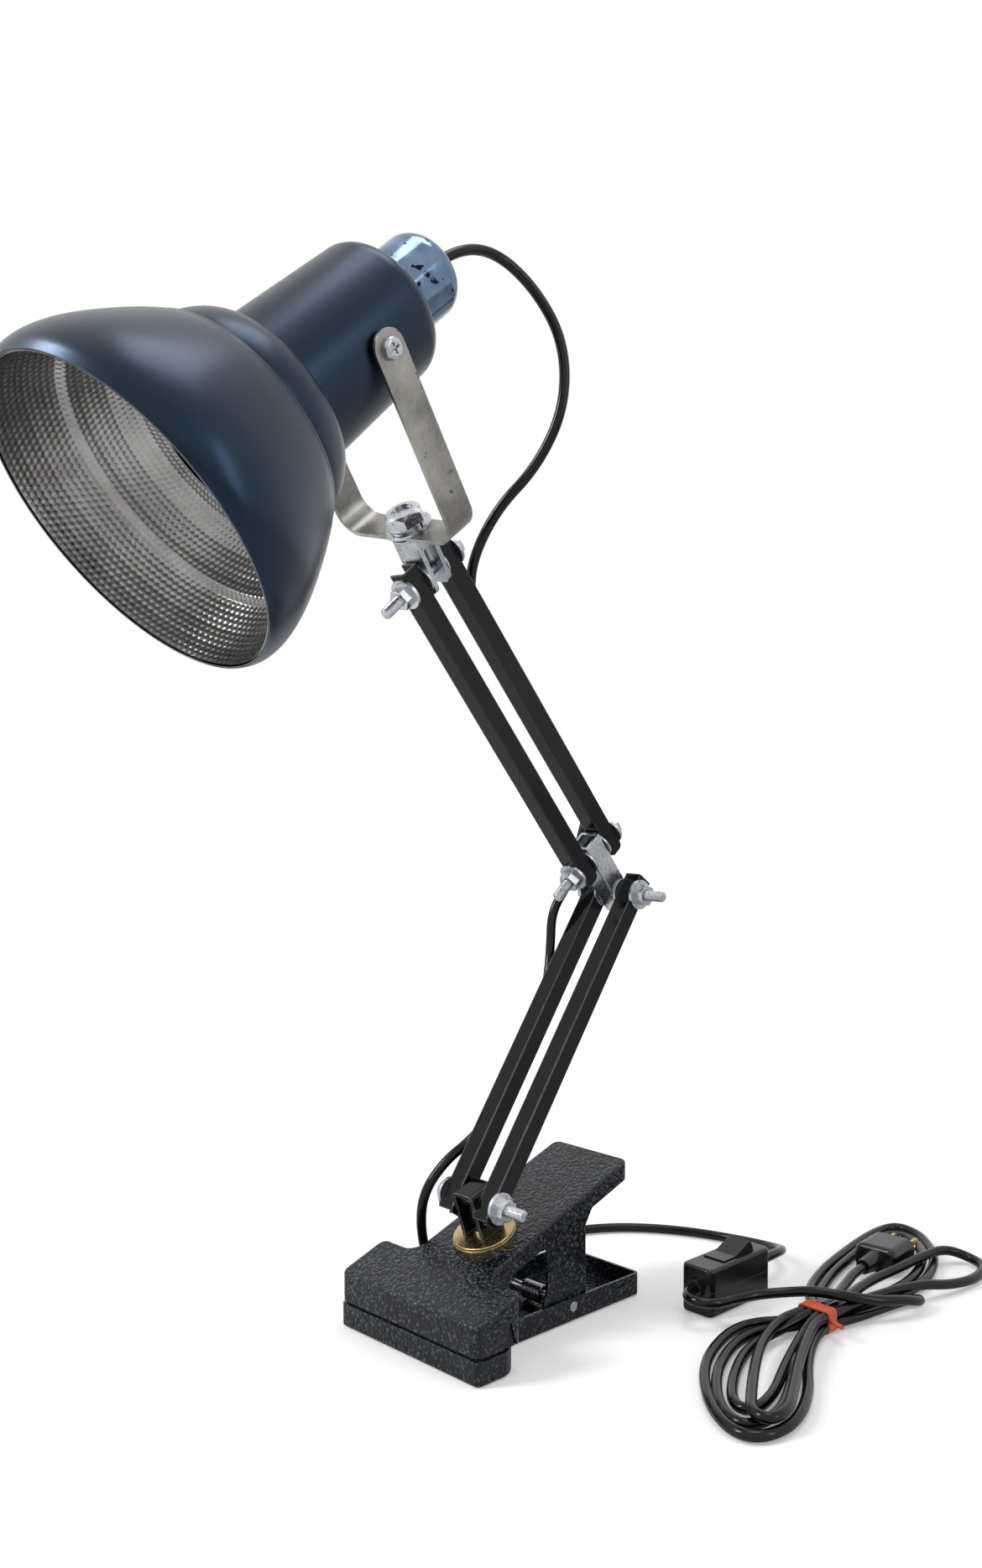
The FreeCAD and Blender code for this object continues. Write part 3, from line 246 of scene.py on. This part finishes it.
LINEWISE = ((1.0, 1.0, 0.03), (0.0, 0.0, 0.0))
MATERIALS = {
    "clamp_paint": finish_of("clamp_paint", (0.0015, 0.002, 0.003), (0.004, 0.005, 0.008), 0.0, (0.18, 0.30),
                             900.0, 0.55, cells=560.0, edge_wear_and_sheen=(0.10, 0.12, 0.15), bevel_mm=0.6, shine=0.30,
                             speckle=(0.060, 0.082, 0.115)),
    # the bars' light grey edges are partly wear and partly a painted highlight along their corners
    "bar_paint": finish_of("bar_paint", (0.0020, 0.0022, 0.003), (0.005, 0.0055, 0.007), 0.0, (0.09, 0.16),
                           1300.0, 0.003, edge_wear_and_sheen=(0.36, 0.38, 0.42), bevel_mm=0.9, shine=0.20,
                           wear_and_sheen_spread=(0.22, 0.50)),
    # the blue specular tint paints bluish light into the shade's reflections
    "shade_paint": finish_of("shade_paint", (0.0016, 0.0024, 0.0042), (0.0032, 0.0048, 0.0080), 0.0,
                             (0.27, 0.34), 1500.0, 0.008, edge_wear_and_sheen=(0.30, 0.33, 0.38), bevel_mm=0.5, shine=0.55,
                             tint=(0.36, 0.60, 1.0), wear_and_sheen_spread=(0.30, 0.55)),
    "zinc": finish_of("zinc", (0.32, 0.34, 0.37), (0.60, 0.61, 0.64), 1.0, (0.20, 0.36), 700.0, 0.012,
                      edge_wear_and_sheen=(0.86, 0.87, 0.88), bevel_mm=0.4, spots=(420.0, 0.66, (0.16, 0.15, 0.14))),
    "yellow_zinc": finish_of("yellow_zinc", (0.42, 0.31, 0.14), (0.70, 0.56, 0.30), 1.0, (0.20, 0.36), 500.0,
                             0.010, edge_wear_and_sheen=(0.85, 0.80, 0.66), spots=(240.0, 0.62, (0.50, 0.42, 0.46))),
    "yoke_steel": finish_of("yoke_steel", (0.19, 0.185, 0.17), (0.40, 0.39, 0.36), 1.0, (0.26, 0.42), 2600.0,
                            0.010, edge_wear_and_sheen=(0.72, 0.72, 0.72), stretch=LINEWISE, bevel_mm=0.4,
                            spots=(330.0, 0.68, (0.13, 0.125, 0.12))),
    "spring_steel": finish_of("spring_steel", (0.16, 0.17, 0.19), (0.42, 0.43, 0.46), 1.0, (0.18, 0.34),
                              900.0, 0.006),
    # the blue in the chrome's dark tone is a painted reflection of bluish light
    "chrome": finish_of("chrome", (0.09, 0.13, 0.20), (0.20, 0.28, 0.40), 1.0, (0.06, 0.14), 160.0, 0.002,
                        spots=(170.0, 0.64, (0.012, 0.013, 0.017)), bevel_mm=0.5),
    # the reflector's dull grey tone, darker than bare aluminium, is painted shade inside the bowl
    "reflector": finish_of("reflector", (0.25, 0.245, 0.24), (0.38, 0.375, 0.37), 1.0, (0.20, 0.28), 420.0,
                           0.003, bevel_mm=0.1),
    "brass": finish_of("brass", (0.55, 0.38, 0.14), (0.78, 0.58, 0.28), 1.0, (0.20, 0.36), 600.0, 0.006,
                       edge_wear_and_sheen=(0.85, 0.70, 0.42)),
    "holder_plastic": finish_of("holder_plastic", (0.006, 0.006, 0.007), (0.014, 0.014, 0.016), 0.0,
                                (0.34, 0.5), 1100.0, 0.020, bevel_mm=0.4, shine=0.35),
    "pad_rubber": finish_of("pad_rubber", (0.008, 0.008, 0.009), (0.020, 0.020, 0.021), 0.0, (0.6, 0.8),
                            900.0, 0.05, bevel_mm=0.3, shine=0.3),
    "lead": finish_of("lead", (0.0015, 0.0018, 0.0025), (0.004, 0.0045, 0.006), 0.0, (0.14, 0.24),
                      800.0, 0.006, bevel_mm=0.2, shine=0.28),
    "switch_plastic": finish_of("switch_plastic", (0.003, 0.0035, 0.0045), (0.007, 0.008, 0.010), 0.0,
                                (0.18, 0.30), 1700.0, 0.010, edge_wear_and_sheen=(0.05, 0.055, 0.065), bevel_mm=0.6,
                                shine=0.4),
    "tie": finish_of("tie", (0.50, 0.06, 0.02), (0.70, 0.13, 0.05), 0.0, (0.34, 0.5), 700.0, 0.03,
                     bevel_mm=0.6),
}
for part in frame["record"]["subparts"]:
    node = nodes[part["node"]]
    node.data.materials.clear()
    node.data.materials.append(MATERIALS[part["material_slot"]])


# ------------------------------------------------------------ mesh helpers
def mesh_piece(name, verts, faces, slot, smooth=True):
    mesh = bpy.data.meshes.new(name)
    mesh.from_pydata([tuple(v) for v in verts], [], faces)
    mesh.validate()
    mesh.materials.append(MATERIALS[slot])
    if smooth:
        mesh.shade_smooth()
        mesh.set_sharp_from_angle(angle=math.radians(35))
    piece = bpy.data.objects.new(name, mesh)
    bpy.context.scene.collection.objects.link(piece)
    return piece


def body_of(node):
    return nodes[node]["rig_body"]


def at(origin, z_dir, x_dir, point):
    """A point of a local frame in the row frame: z and x along the given directions, all in millimetres."""
    z = Vector(z_dir).normalized()
    y = z.cross(Vector(x_dir)).normalized()
    x = y.cross(z)
    p = Vector(origin) + x * point[0] + y * point[1] + z * point[2]
    return (p.x, p.y, p.z)


X_AXIS = (1.0, 0.0, 0.0)
BASE_BOLT = (0.0, -0.17, 65.26)
ELBOW_BOLT = (0.0, 104.94, 212.62)
SWING_BOLT = (0.0, 86.61, 235.09)
HEAD_BOLT = (0.0, -29.68, 377.68)
TILT = (19.51, -102.6, 467.08)
LOWER = (0.0, 0.5807, 0.81412)
UPPER = (0.0, -0.63203, 0.77494)
SHADE = (-0.07113, -0.758, -0.64836)
YOKE_SIDE = (0.98383, 0.05381, -0.17084)
PLUG_AT = (97.6, 233.0, 7.6)
PLUG_DIR = (-0.0995, 0.99504, 0.0)
PLUG_SIDE = (0.99504, 0.0995, 0.0)


def on_base(*p):
    return at(BASE_BOLT, LOWER, X_AXIS, p)


def on_elbow(*p):
    return at(SWING_BOLT, UPPER, X_AXIS, p)


def elbow_low(*p):
    return at(ELBOW_BOLT, LOWER, X_AXIS, p)


def on_shade(*p):
    return at(TILT, SHADE, YOKE_SIDE, p)


def on_plug(*p):
    return at(PLUG_AT, PLUG_DIR, PLUG_SIDE, p)


# ------------------------------------------------------------------- cords
LEAD_D = 5.2


def route_curve(name, route):
    curve = bpy.data.curves.new(name, "CURVE")
    curve.dimensions = "3D"
    curve.resolution_u = 10
    spline = curve.splines.new("NURBS")
    spline.points.add(len(route) - 1)
    for point, place in zip(spline.points, route):
        point.co = (place[0] * MM, place[1] * MM, place[2] * MM, 1.0)
    spline.order_u = 3
    spline.use_endpoint_u = True
    return curve


def line_of(curve):
    """Points read from the route's own spline."""
    bare = bpy.data.objects.new("bare", curve)
    mesh = bpy.data.meshes.new_from_object(bare)
    line = np.array([v.co for v in mesh.vertices], float)
    bpy.data.objects.remove(bare)
    bpy.data.meshes.remove(mesh)
    keep = np.concatenate([[True], np.linalg.norm(np.diff(line, axis=0), axis=1) > 1e-6])
    return line[keep]


def rings_along(line, radius, sides=20):
    """A ring of points round each point of the line, turned with it and never twisted."""
    tangent = np.gradient(line, axis=0)
    tangent /= np.linalg.norm(tangent, axis=1)[:, None]
    side = np.cross(tangent[0], (0.0, 0.0, 1.0))
    if np.linalg.norm(side) < 0.1:
        side = np.cross(tangent[0], (0.0, 1.0, 0.0))
    turn = np.arange(sides) * 2 * math.pi / sides
    rings = []
    for p, t in zip(line, tangent):
        side = side - t * side.dot(t)
        side /= np.linalg.norm(side)
        other = np.cross(t, side)
        rings.append(p + radius * (np.cos(turn)[:, None] * side + np.sin(turn)[:, None] * other))
    return np.array(rings)


def tube_faces(count, sides, first=0):
    """Two end caps and the wall of one tube, whose points start at the number first."""
    last = first + (count - 1) * sides
    faces = [tuple(first + k for k in reversed(range(sides))), tuple(last + k for k in range(sides))]
    for i in range(count - 1):
        for k in range(sides):
            a, b = first + i * sides + k, first + i * sides + (k + 1) % sides
            faces.append((a, b, b + sides, a + sides))
    return faces


def tube_piece(name, rings, slot):
    return mesh_piece(name, rings.reshape(-1, 3), tube_faces(*rings.shape[:2]), slot)


def bending_cord(node, route, spans, cuts):
    """One smooth lead cut where it passes from joint to joint, into one piece per joint; the piece at the
    lead's own body hides its CAD node.
    """
    curve = route_curve(node + "_route", route)
    line = line_of(curve)
    bpy.data.curves.remove(curve)
    rings = rings_along(line, LEAD_D / 2 * MM)
    marks = [0]
    for cut in cuts:
        marks.append(int(np.linalg.norm(line - np.array(cut) * MM, axis=1).argmin()))
    marks.append(len(line) - 1)
    for k, (a, b) in enumerate(spans):
        piece = tube_piece(f"{node}_{k + 1}", rings[marks[k]:marks[k + 1] + 1], "lead")
        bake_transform(piece)
        if body_of(node) in (a, b):
            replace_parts(piece, node)


def straight_cord(node, route):
    curve = route_curve(node + "_run", route)
    curve.bevel_depth = LEAD_D / 2 * MM
    curve.bevel_resolution = 5
    curve.use_fill_caps = True
    curve.materials.append(MATERIALS["lead"])
    piece = bpy.data.objects.new(node + "_run", curve)
    bpy.context.scene.collection.objects.link(piece)
    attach(piece, body_of(node))
    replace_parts(piece, node)


head_route = [
    on_shade(0, 0, -67), on_shade(0, 0, -86), (24.0, -10.0, 530.0), (30.0, 12.0, 516.0), (37.0, 26.0, 491.0),
    (36.0, 28.0, 460.0), (26.0, 19.0, 431.0), (11.0, 4.0, 409.0), on_elbow(-4.0, 25.5, 168.0),
    on_elbow(-11.5, 20.0, 144.0), on_elbow(-8.5, 12.55, 122.0), on_elbow(-1.6, 12.55, 102.0),
    on_elbow(-1.6, 12.55, 84.0),
]
bending_cord("cord_head", head_route, [("shade", "yoke"), ("yoke", "head"), ("head", "upper_arm")],
             [(30.0, 12.0, 514.0), (28.0, 20.0, 437.0)])
straight_cord("cord_upper", [on_elbow(-1.6, 12.55, 84.0), on_elbow(-1.6, 12.55, 57.0),
                             on_elbow(-1.6, 12.55, 30.0)])
elbow_route = [
    on_elbow(-1.6, 12.55, 30.0), on_elbow(-1.6, 12.55, 18.0), on_elbow(-14.0, 11.0, 2.0),
    elbow_low(-21.0, -13.5, -4.0), elbow_low(-24.5, -13.5, -22.0), elbow_low(-24.0, -4.0, -38.0),
    elbow_low(-20.5, 0.2, -53.0), elbow_low(-14.15, 0.0, -70.0), elbow_low(-14.15, 0.0, -84.0),
]
bending_cord("cord_elbow", elbow_route, [("upper_arm", "elbow"), ("elbow", "lower_arm")],
             [elbow_low(-23.0, -13.5, -12.0)])
straight_cord("cord_lower", [on_base(-14.15, 0, 97.0), on_base(-14.15, 0, 76.0), on_base(-14.15, 0, 56.0)])
FLOOR = 2.65
base_route = [
    on_base(-14.15, 0, 56.0), on_base(-14.15, 0, 44.0), on_base(-20.5, -0.3, 28.0),
    on_base(-26.0, -5.5, 13.0),
    (-30.5, -8.0, 64.0), (-35.5, -6.0, 44.0), (-37.0, 1.0, 22.0), (-42.0, 17.0, 6.0), (-50.0, 42.0, FLOOR),
    (-61.0, 80.0, FLOOR), (-64.0, 120.0, FLOOR), (-48.0, 156.0, FLOOR), (-16.0, 181.0, FLOOR),
    (22.0, 194.0, FLOOR), (51.0, 190.0, 6.0), (66.5, 170.0, 14.0), (66.5, 142.0, 14.0),
]
bending_cord("cord_base", base_route,
             [("lower_arm", "swivel_base"), ("swivel_base", "clamp_upper"), ("clamp_upper", "clamp_lower")],
             [(-28.0, -4.0, 70.0), (-36.0, -4.0, 36.0)])

# the gathered lead: one line from the switch, through the tie again and again, to the plug
gathered_route = [
    # round the switch's corner and over the tie to a tight fold behind it
    (66.5, 96.0, 14.0), (66.5, 86.5, 14.0), (72.0, 79.5, 14.0), (80.5, 79.5, 13.7), (86.0, 86.5, 13.2),
    (87.0, 99.0, 12.4), (91.5, 114.0, 12.0), (101.5, 125.0, 13.0), (113.5, 130.5, 15.4), (126.0, 137.0, 14.6),
    (137.0, 152.0, 11.0), (142.5, 168.0, 8.6), (144.5, 181.0, 5.0), (140.0, 187.0, 3.2), (135.0, 180.0, 2.8),
    (132.5, 164.0, 2.8), (130.5, 144.0, 3.2), (127.0, 127.0, 3.6), (127.0, 118.0, 3.6),
    # outermost turn to the front
    (130.5, 104.0, 3.2), (143.0, 80.0, 2.8), (163.0, 52.0, 2.8), (174.0, 24.0, 2.8), (170.5, 3.5, 2.8),
    (156.5, 1.0, 2.8), (134.0, 15.5, 2.8), (109.0, 44.5, 2.8), (96.5, 77.0, 2.8), (96.0, 98.0, 2.8),
    (107.0, 112.5, 3.2), (114.6, 118.0, 3.6), (114.6, 127.0, 3.6),
    # longest turn to the rear
    (107.5, 139.0, 3.2), (93.5, 154.0, 2.8), (82.5, 182.0, 2.8), (75.5, 213.0, 2.8), (68.5, 256.0, 2.8),
    (70.5, 280.0, 2.8), (88.0, 277.0, 2.8), (103.5, 262.5, 2.8), (116.0, 247.0, 2.8), (128.5, 217.0, 2.8),
    (131.0, 190.0, 2.8), (126.0, 160.0, 2.8), (123.0, 138.0, 3.2), (122.9, 127.0, 3.6), (122.9, 118.0, 3.6),
    # second turn to the front, inside the first
    (125.5, 104.0, 3.0), (133.0, 85.0, 2.8), (149.0, 59.5, 2.8), (164.0, 29.0, 2.8), (161.5, 8.0, 2.8),
    (145.0, 11.0, 2.8), (121.5, 37.0, 2.8), (107.0, 67.0, 2.8), (104.0, 90.0, 2.8), (112.0, 107.0, 3.0),
    (118.7, 118.0, 3.6), (118.7, 127.0, 3.6),
    # second turn to the rear, round the plug
    (111.5, 140.0, 3.2), (98.5, 157.0, 2.8), (88.5, 184.0, 2.8), (81.5, 214.0, 2.8), (75.5, 246.0, 2.8),
    (79.0, 266.0, 2.8), (92.0, 264.0, 2.8), (107.5, 248.0, 2.8), (117.5, 228.0, 2.8), (123.5, 205.0, 2.8),
    (124.0, 182.0, 2.8), (119.0, 158.0, 3.4), (114.6, 138.0, 7.0), (114.6, 127.0, 8.8), (114.6, 118.0, 8.8),
    # narrow turn to the front, over the others
    (112.5, 102.0, 8.6), (120.0, 76.0, 8.2), (136.5, 47.0, 8.2), (151.0, 25.0, 8.2), (161.0, 11.0, 8.2),
    (171.0, 12.0, 8.2), (170.5, 25.0, 8.2), (162.0, 41.0, 8.2), (148.0, 65.0, 8.2), (134.5, 92.0, 8.4),
    (127.0, 111.0, 8.8),
    (127.0, 118.0, 8.8), (127.0, 127.0, 8.8),
    # single long turn to the rear, wide of the others at its end
    (127.5, 146.0, 8.8), (130.5, 170.0, 8.6), (137.0, 195.0, 8.0), (143.5, 214.0, 4.4), (146.5, 236.0, 2.8),
    (141.5, 256.0, 2.8), (128.0, 262.0, 3.4), (118.5, 252.0, 8.2), (116.5, 230.0, 8.4), (116.5, 206.0, 8.2),
    (115.5, 180.0, 8.2), (119.0, 154.0, 8.4), (122.9, 136.0, 8.8), (122.9, 127.0, 8.8), (122.9, 118.0, 8.8),
    # last short turn to the front, on the floor inside the second: it isn't seen in the
    # photograph, and brings the line back through the tie
    (126.5, 100.0, 5.4), (137.5, 70.0, 2.8), (151.0, 42.0, 2.8), (154.5, 22.0, 2.8), (144.0, 20.5, 2.8),
    (128.0, 42.0, 2.8), (114.5, 70.0, 2.8), (112.0, 92.0, 3.0), (116.5, 108.0, 6.6), (118.7, 118.0, 8.8),
    (118.7, 127.0, 8.8),
    # and away to the plug
    (117.0, 138.0, 8.2), (112.0, 154.0, 6.8), (107.0, 170.0, 6.8), on_plug(0, 0, -47.0), on_plug(0, 0, -34.0),
]
gathered = route_curve("gathered_lead", gathered_route)
gathered.bevel_depth = LEAD_D / 2 * MM
gathered.bevel_resolution = 5
gathered.use_fill_caps = True
gathered.materials.append(MATERIALS["lead"])
gathered_lead = bpy.data.objects.new("gathered_lead", gathered)
bpy.context.scene.collection.objects.link(gathered_lead)
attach(gathered_lead, "clamp_lower")
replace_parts(gathered_lead, "cord_tail", "cord_hank", "cord_plug")


# --------------------------------------------------------------- reflector
def reflector_piece():
    """Turned bowl whose inner face carries rows of round dimples, closed by a plain back wall."""
    profile = np.array([(74.3, 126.2), (73.6, 118.0), (72.0, 109.0), (69.6, 101.0), (67.8, 96.0),
                        (64.4, 93.4), (62.6, 88.0), (58.0, 78.5), (51.5, 70.5), (44.0, 68.5)])
    span = np.concatenate([[0], np.cumsum(np.linalg.norm(np.diff(profile, axis=0), axis=1))])
    rows, columns = 150, 960
    around, step, pitch, height = 138, 2.85, 3.3, 0.26
    wall, lift, fade_over, back_every = 0.55, 0.1, 2.0, 10
    s = np.linspace(0, span[-1], rows)
    r = np.interp(s, span, profile[:, 0])
    d = np.interp(s, span, profile[:, 1])
    for k in range(3):
        r[1:-1] = (r[:-2] + r[1:-1] + r[2:]) / 3
        d[1:-1] = (d[:-2] + d[1:-1] + d[2:]) / 3
    turn = np.arange(columns) * 2 * math.pi / columns
    cell_row = np.floor(s / step)
    in_row = s / step - cell_row - 0.5
    shift = (cell_row % 2) * 0.5
    u = turn[None, :] / (2 * math.pi) * around + shift[:, None]
    in_col = u - np.floor(u) - 0.5
    far2 = ((in_row[:, None] * step) ** 2 + (in_col * pitch) ** 2) / (pitch / 2) ** 2
    dome = np.clip(1 - far2, 0, 1) ** 1.6
    fade = np.clip(np.minimum(s, span[-1] - s) / fade_over, 0, 1)[:, None]
    raised = height * dome * fade
    slope_r = np.gradient(r, s)
    slope_d = np.gradient(d, s)
    normal_r, normal_d = slope_d, -slope_r
    inner_r = r[:, None] - wall + normal_r[:, None] * raised
    inner_d = d[:, None] + lift + normal_d[:, None] * raised
    back_r, back_d = r[::back_every], d[::back_every] - lift
    verts = []
    for rr, dd in zip(inner_r, inner_d):
        for k in range(columns):
            verts.append((rr[k] * math.cos(turn[k]), rr[k] * math.sin(turn[k]), dd[k]))
    for rr, dd in zip(back_r, back_d):
        for k in range(columns):
            verts.append((rr * math.cos(turn[k]), rr * math.sin(turn[k]), dd))
    total = rows + len(back_r)
    faces = []
    for i in range(total - 1):
        if i == rows - 1:
            continue
        for k in range(columns):
            a, b = i * columns + k, i * columns + (k + 1) % columns
            quad = (a, b, b + columns, a + columns)
            faces.append(quad if i < rows else quad[::-1])
    for inner_row, back_row in ((0, rows), (rows - 1, total - 1)):
        for k in range(columns):
            a, b = inner_row * columns + k, inner_row * columns + (k + 1) % columns
            c, e = back_row * columns + k, back_row * columns + (k + 1) % columns
            faces.append((b, a, c, e) if inner_row == 0 else (a, b, e, c))
    placed = [Vector(on_shade(*v)) * MM for v in verts]
    piece = mesh_piece("reflector_bowl", placed, faces, "reflector")
    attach(piece, "shade")
    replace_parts(piece, "reflector")


reflector_piece()


# ----------------------------------------------------- bolts with threads
BOLT_SPAN = (-23.2, -19.2, 15.0, 35.0)     # head's outer face and seat, thread's start and end
THREAD_DEPTH = 0.5
RINGS_PER_TURN = 10
END_CHAMFER = 0.7


def bolt(origin, axis, head_from, head_to, thread_from, thread_to, af=10.0, r=3.0, pitch=1.0):
    """Hexagon-headed bolt with a real thread, sized in millimetres: vertices in metres, and faces."""
    steps = 48
    side = (0, -0.6, 0.8) if abs(axis[0]) > 0.5 else X_AXIS

    def ring(radius, z):
        return np.zeros(steps) + radius, np.zeros(steps) + z

    turn = np.arange(steps) * 2 * math.pi / steps
    hexed = af / 2 / np.cos((turn + math.pi / 6) % (math.pi / 3) - math.pi / 6)
    top = head_from + (hexed - af / 2) * 0.577
    tip, shank = 0.01, r - 0.06
    rings = [ring(tip, head_from), ring(af * 0.44, head_from), ring(hexed, top + 0.15), ring(hexed, head_to),
             ring(shank, head_to), ring(shank, thread_from)]
    n = int((thread_to - thread_from) / pitch * RINGS_PER_TURN)
    for i in range(n + 1):
        z = thread_from + (thread_to - thread_from) * i / n
        phase = (z / pitch - turn / (2 * math.pi)) % 1.0
        depth = THREAD_DEPTH * (1 - np.abs(2 * phase - 1))
        fade = min(1.0, (z - thread_from) / pitch)
        end_cut = max(0.0, z - thread_to + END_CHAMFER)
        rings.append(ring(r - 0.03 - depth * fade - end_cut * 0.6, z))
    rings.append(ring(tip, thread_to))
    verts, faces = [], []
    for rr, zz in rings:
        for k in range(steps):
            point = (rr[k] * math.cos(turn[k]), rr[k] * math.sin(turn[k]), zz[k])
            verts.append(Vector(at(origin, axis, side, point)) * MM)
    for i in range(len(rings) - 1):
        for k in range(steps):
            a, b = i * steps + k, i * steps + (k + 1) % steps
            faces.append((a, b, b + steps, a + steps))
    return verts, faces


def bolt_piece(name, node, bolts):
    verts, faces = [], []
    for origin, axis in bolts:
        v, f = bolt(origin, axis, *BOLT_SPAN)
        faces += [tuple(i + len(verts) for i in face) for face in f]
        verts += v
    piece = mesh_piece(name, verts, faces, "zinc")
    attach(piece, body_of(node))
    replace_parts(piece, node)


BACKWARD = (0.0, -0.77494, -0.63203)
bolt_piece("base_bolt_threaded", "base_bolt", [(BASE_BOLT, X_AXIS)])
bolt_piece("elbow_bolts_threaded", "elbow_bolts", [(ELBOW_BOLT, X_AXIS), (SWING_BOLT, BACKWARD)])
bolt_piece("head_bolt_threaded", "head_bolt", [(HEAD_BOLT, BACKWARD)])


# ------------------------------------------- clamp spring, one leg per jaw
WIRE_R = 1.0
WIRE_SIDES = 16


def wire_piece(name, runs, body):
    verts, faces = [], []
    for line in runs:
        rings = rings_along(np.array(line) * MM, WIRE_R * MM, WIRE_SIDES)
        faces += tube_faces(*rings.shape[:2], len(verts))
        verts += list(rings.reshape(-1, 3))
    piece = mesh_piece(name, verts, faces, "spring_steel")
    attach(piece, body)
    return piece


def spring_pieces():
    """Coil and lower leg stay with the tray; the upper leg goes with the lever it pushes."""
    y, z, r, pitch, turns, steps = 42.0, 7.5, 3.9, 2.25, 6.25, 32
    low_start, low_step, low_fall, low_points = -0.5, 3.05, 0.09, 11
    high_from, high_reach, high_steps = 45.9, 4.1, 8
    half = pitch * turns / 2
    coil = []
    for i in range(int(turns * steps) + 1):
        turn = i / steps * 2 * math.pi
        coil.append((-half + pitch * i / steps, y + r * math.sin(turn), z - r * math.cos(turn)))
    low = [(-half, y + low_start + low_step * k, z - r - low_fall * k) for k in range(low_points)]
    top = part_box("clamp_spring")[1][2] / MM - 0.4
    high = [(half, high_from + high_reach * k / high_steps, z + (top - z) * k / high_steps)
            for k in range(high_steps + 1)]
    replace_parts(wire_piece("spring_coil", [coil, low], "clamp_lower"), "clamp_spring")
    wire_piece("spring_leg", [high], "clamp_upper")


spring_pieces()


# ------------------------------------------------------- floor, world, light
FLOOR_HALF = 6.0
FLOOR_Z = -0.0004
NEAR, FAR = (0.25, 0.26), (1.4, 1.0)     # distance from the lamp, and the floor's own light there
WORLD_LIGHT, WORLD_SEEN = 0.5, 1.0


def make_stage():
    corners = [(x * FLOOR_HALF, y * FLOOR_HALF, FLOOR_Z) for x, y in ((-1, -1), (1, -1), (1, 1), (-1, 1))]
    mesh = bpy.data.meshes.new("floor")
    mesh.from_pydata(corners, [], [(0, 1, 2, 3)])
    n = Nodes("floor")
    seen = n.tree.nodes.new("ShaderNodeLightPath").outputs["Is Camera Ray"]
    tone = n.noise(3.0, 3.0, 0.5)
    measure = n.tree.nodes.new("ShaderNodeVectorMath")
    measure.operation = "LENGTH"
    n.link(n.coord, measure.inputs[0])
    away = measure.outputs["Value"]
    n.set(Base_Color=n.blend(n.spread(tone, 0.3, 0.7, 0.0, 1.0), (0.80, 0.80, 0.80), (0.84, 0.84, 0.84)),
          Roughness=n.spread(tone, 0.3, 0.7, 0.7, 0.8), Emission_Color=(1.0, 1.0, 1.0),
          Emission_Strength=n.maths("MULTIPLY", seen, n.spread(away, NEAR[0], FAR[0], NEAR[1], FAR[1])))
    mesh.materials.append(n.mat)
    floor = bpy.data.objects.new("floor", mesh)
    bpy.context.scene.collection.objects.link(floor)


def make_world():
    world = bpy.data.worlds.new("studio")
    world.use_nodes = True
    tree = world.node_tree
    tree.nodes.clear()
    out = tree.nodes.new("ShaderNodeOutputWorld")
    back = tree.nodes.new("ShaderNodeBackground")
    path = tree.nodes.new("ShaderNodeLightPath")
    either = tree.nodes.new("ShaderNodeMath")
    either.operation = "MAXIMUM"
    tree.links.new(path.outputs["Is Camera Ray"], either.inputs[0])
    tree.links.new(path.outputs["Is Transmission Ray"], either.inputs[1])
    level = tree.nodes.new("ShaderNodeMapRange")
    level.inputs["To Min"].default_value = WORLD_LIGHT
    level.inputs["To Max"].default_value = WORLD_SEEN
    shiny = tree.nodes.new("ShaderNodeMath")
    shiny.operation = "MAXIMUM"
    tree.links.new(either.outputs[0], shiny.inputs[0])
    tree.links.new(path.outputs["Is Glossy Ray"], shiny.inputs[1])
    tree.links.new(shiny.outputs[0], level.inputs["Value"])
    back.inputs["Color"].default_value = (1.0, 1.0, 1.0, 1.0)
    tree.links.new(level.outputs["Result"], back.inputs["Strength"])
    tree.links.new(back.outputs[0], out.inputs["Surface"])
    bpy.context.scene.world = world


def soft_light(name, place, target, size, power):
    data = bpy.data.lights.new(name, "AREA")
    data.shape = "RECTANGLE"
    data.size, data.size_y = size
    data.energy = power
    lamp = bpy.data.objects.new(name, data)
    bpy.context.scene.collection.objects.link(lamp)
    away = Vector(place) - Vector(target)
    lamp.matrix_world = Matrix.Translation(place) @ away.to_track_quat("Z", "Y").to_matrix().to_4x4()


make_stage()
make_world()
soft_light("key", place=(-0.9, -1.5, 1.5), target=(0.0, 0.0, 0.30), size=(0.50, 0.9), power=30.0)
soft_light("fill", place=(1.9, 0.5, 0.9), target=(0.0, 0.0, 0.25), size=(0.30, 1.2), power=5.0)
soft_light("top", place=(0.1, 0.2, 2.0), target=(0.0, 0.0, 0.2), size=(0.8, 0.8), power=7.0)

bpy.context.scene.view_settings.view_transform = "Standard"
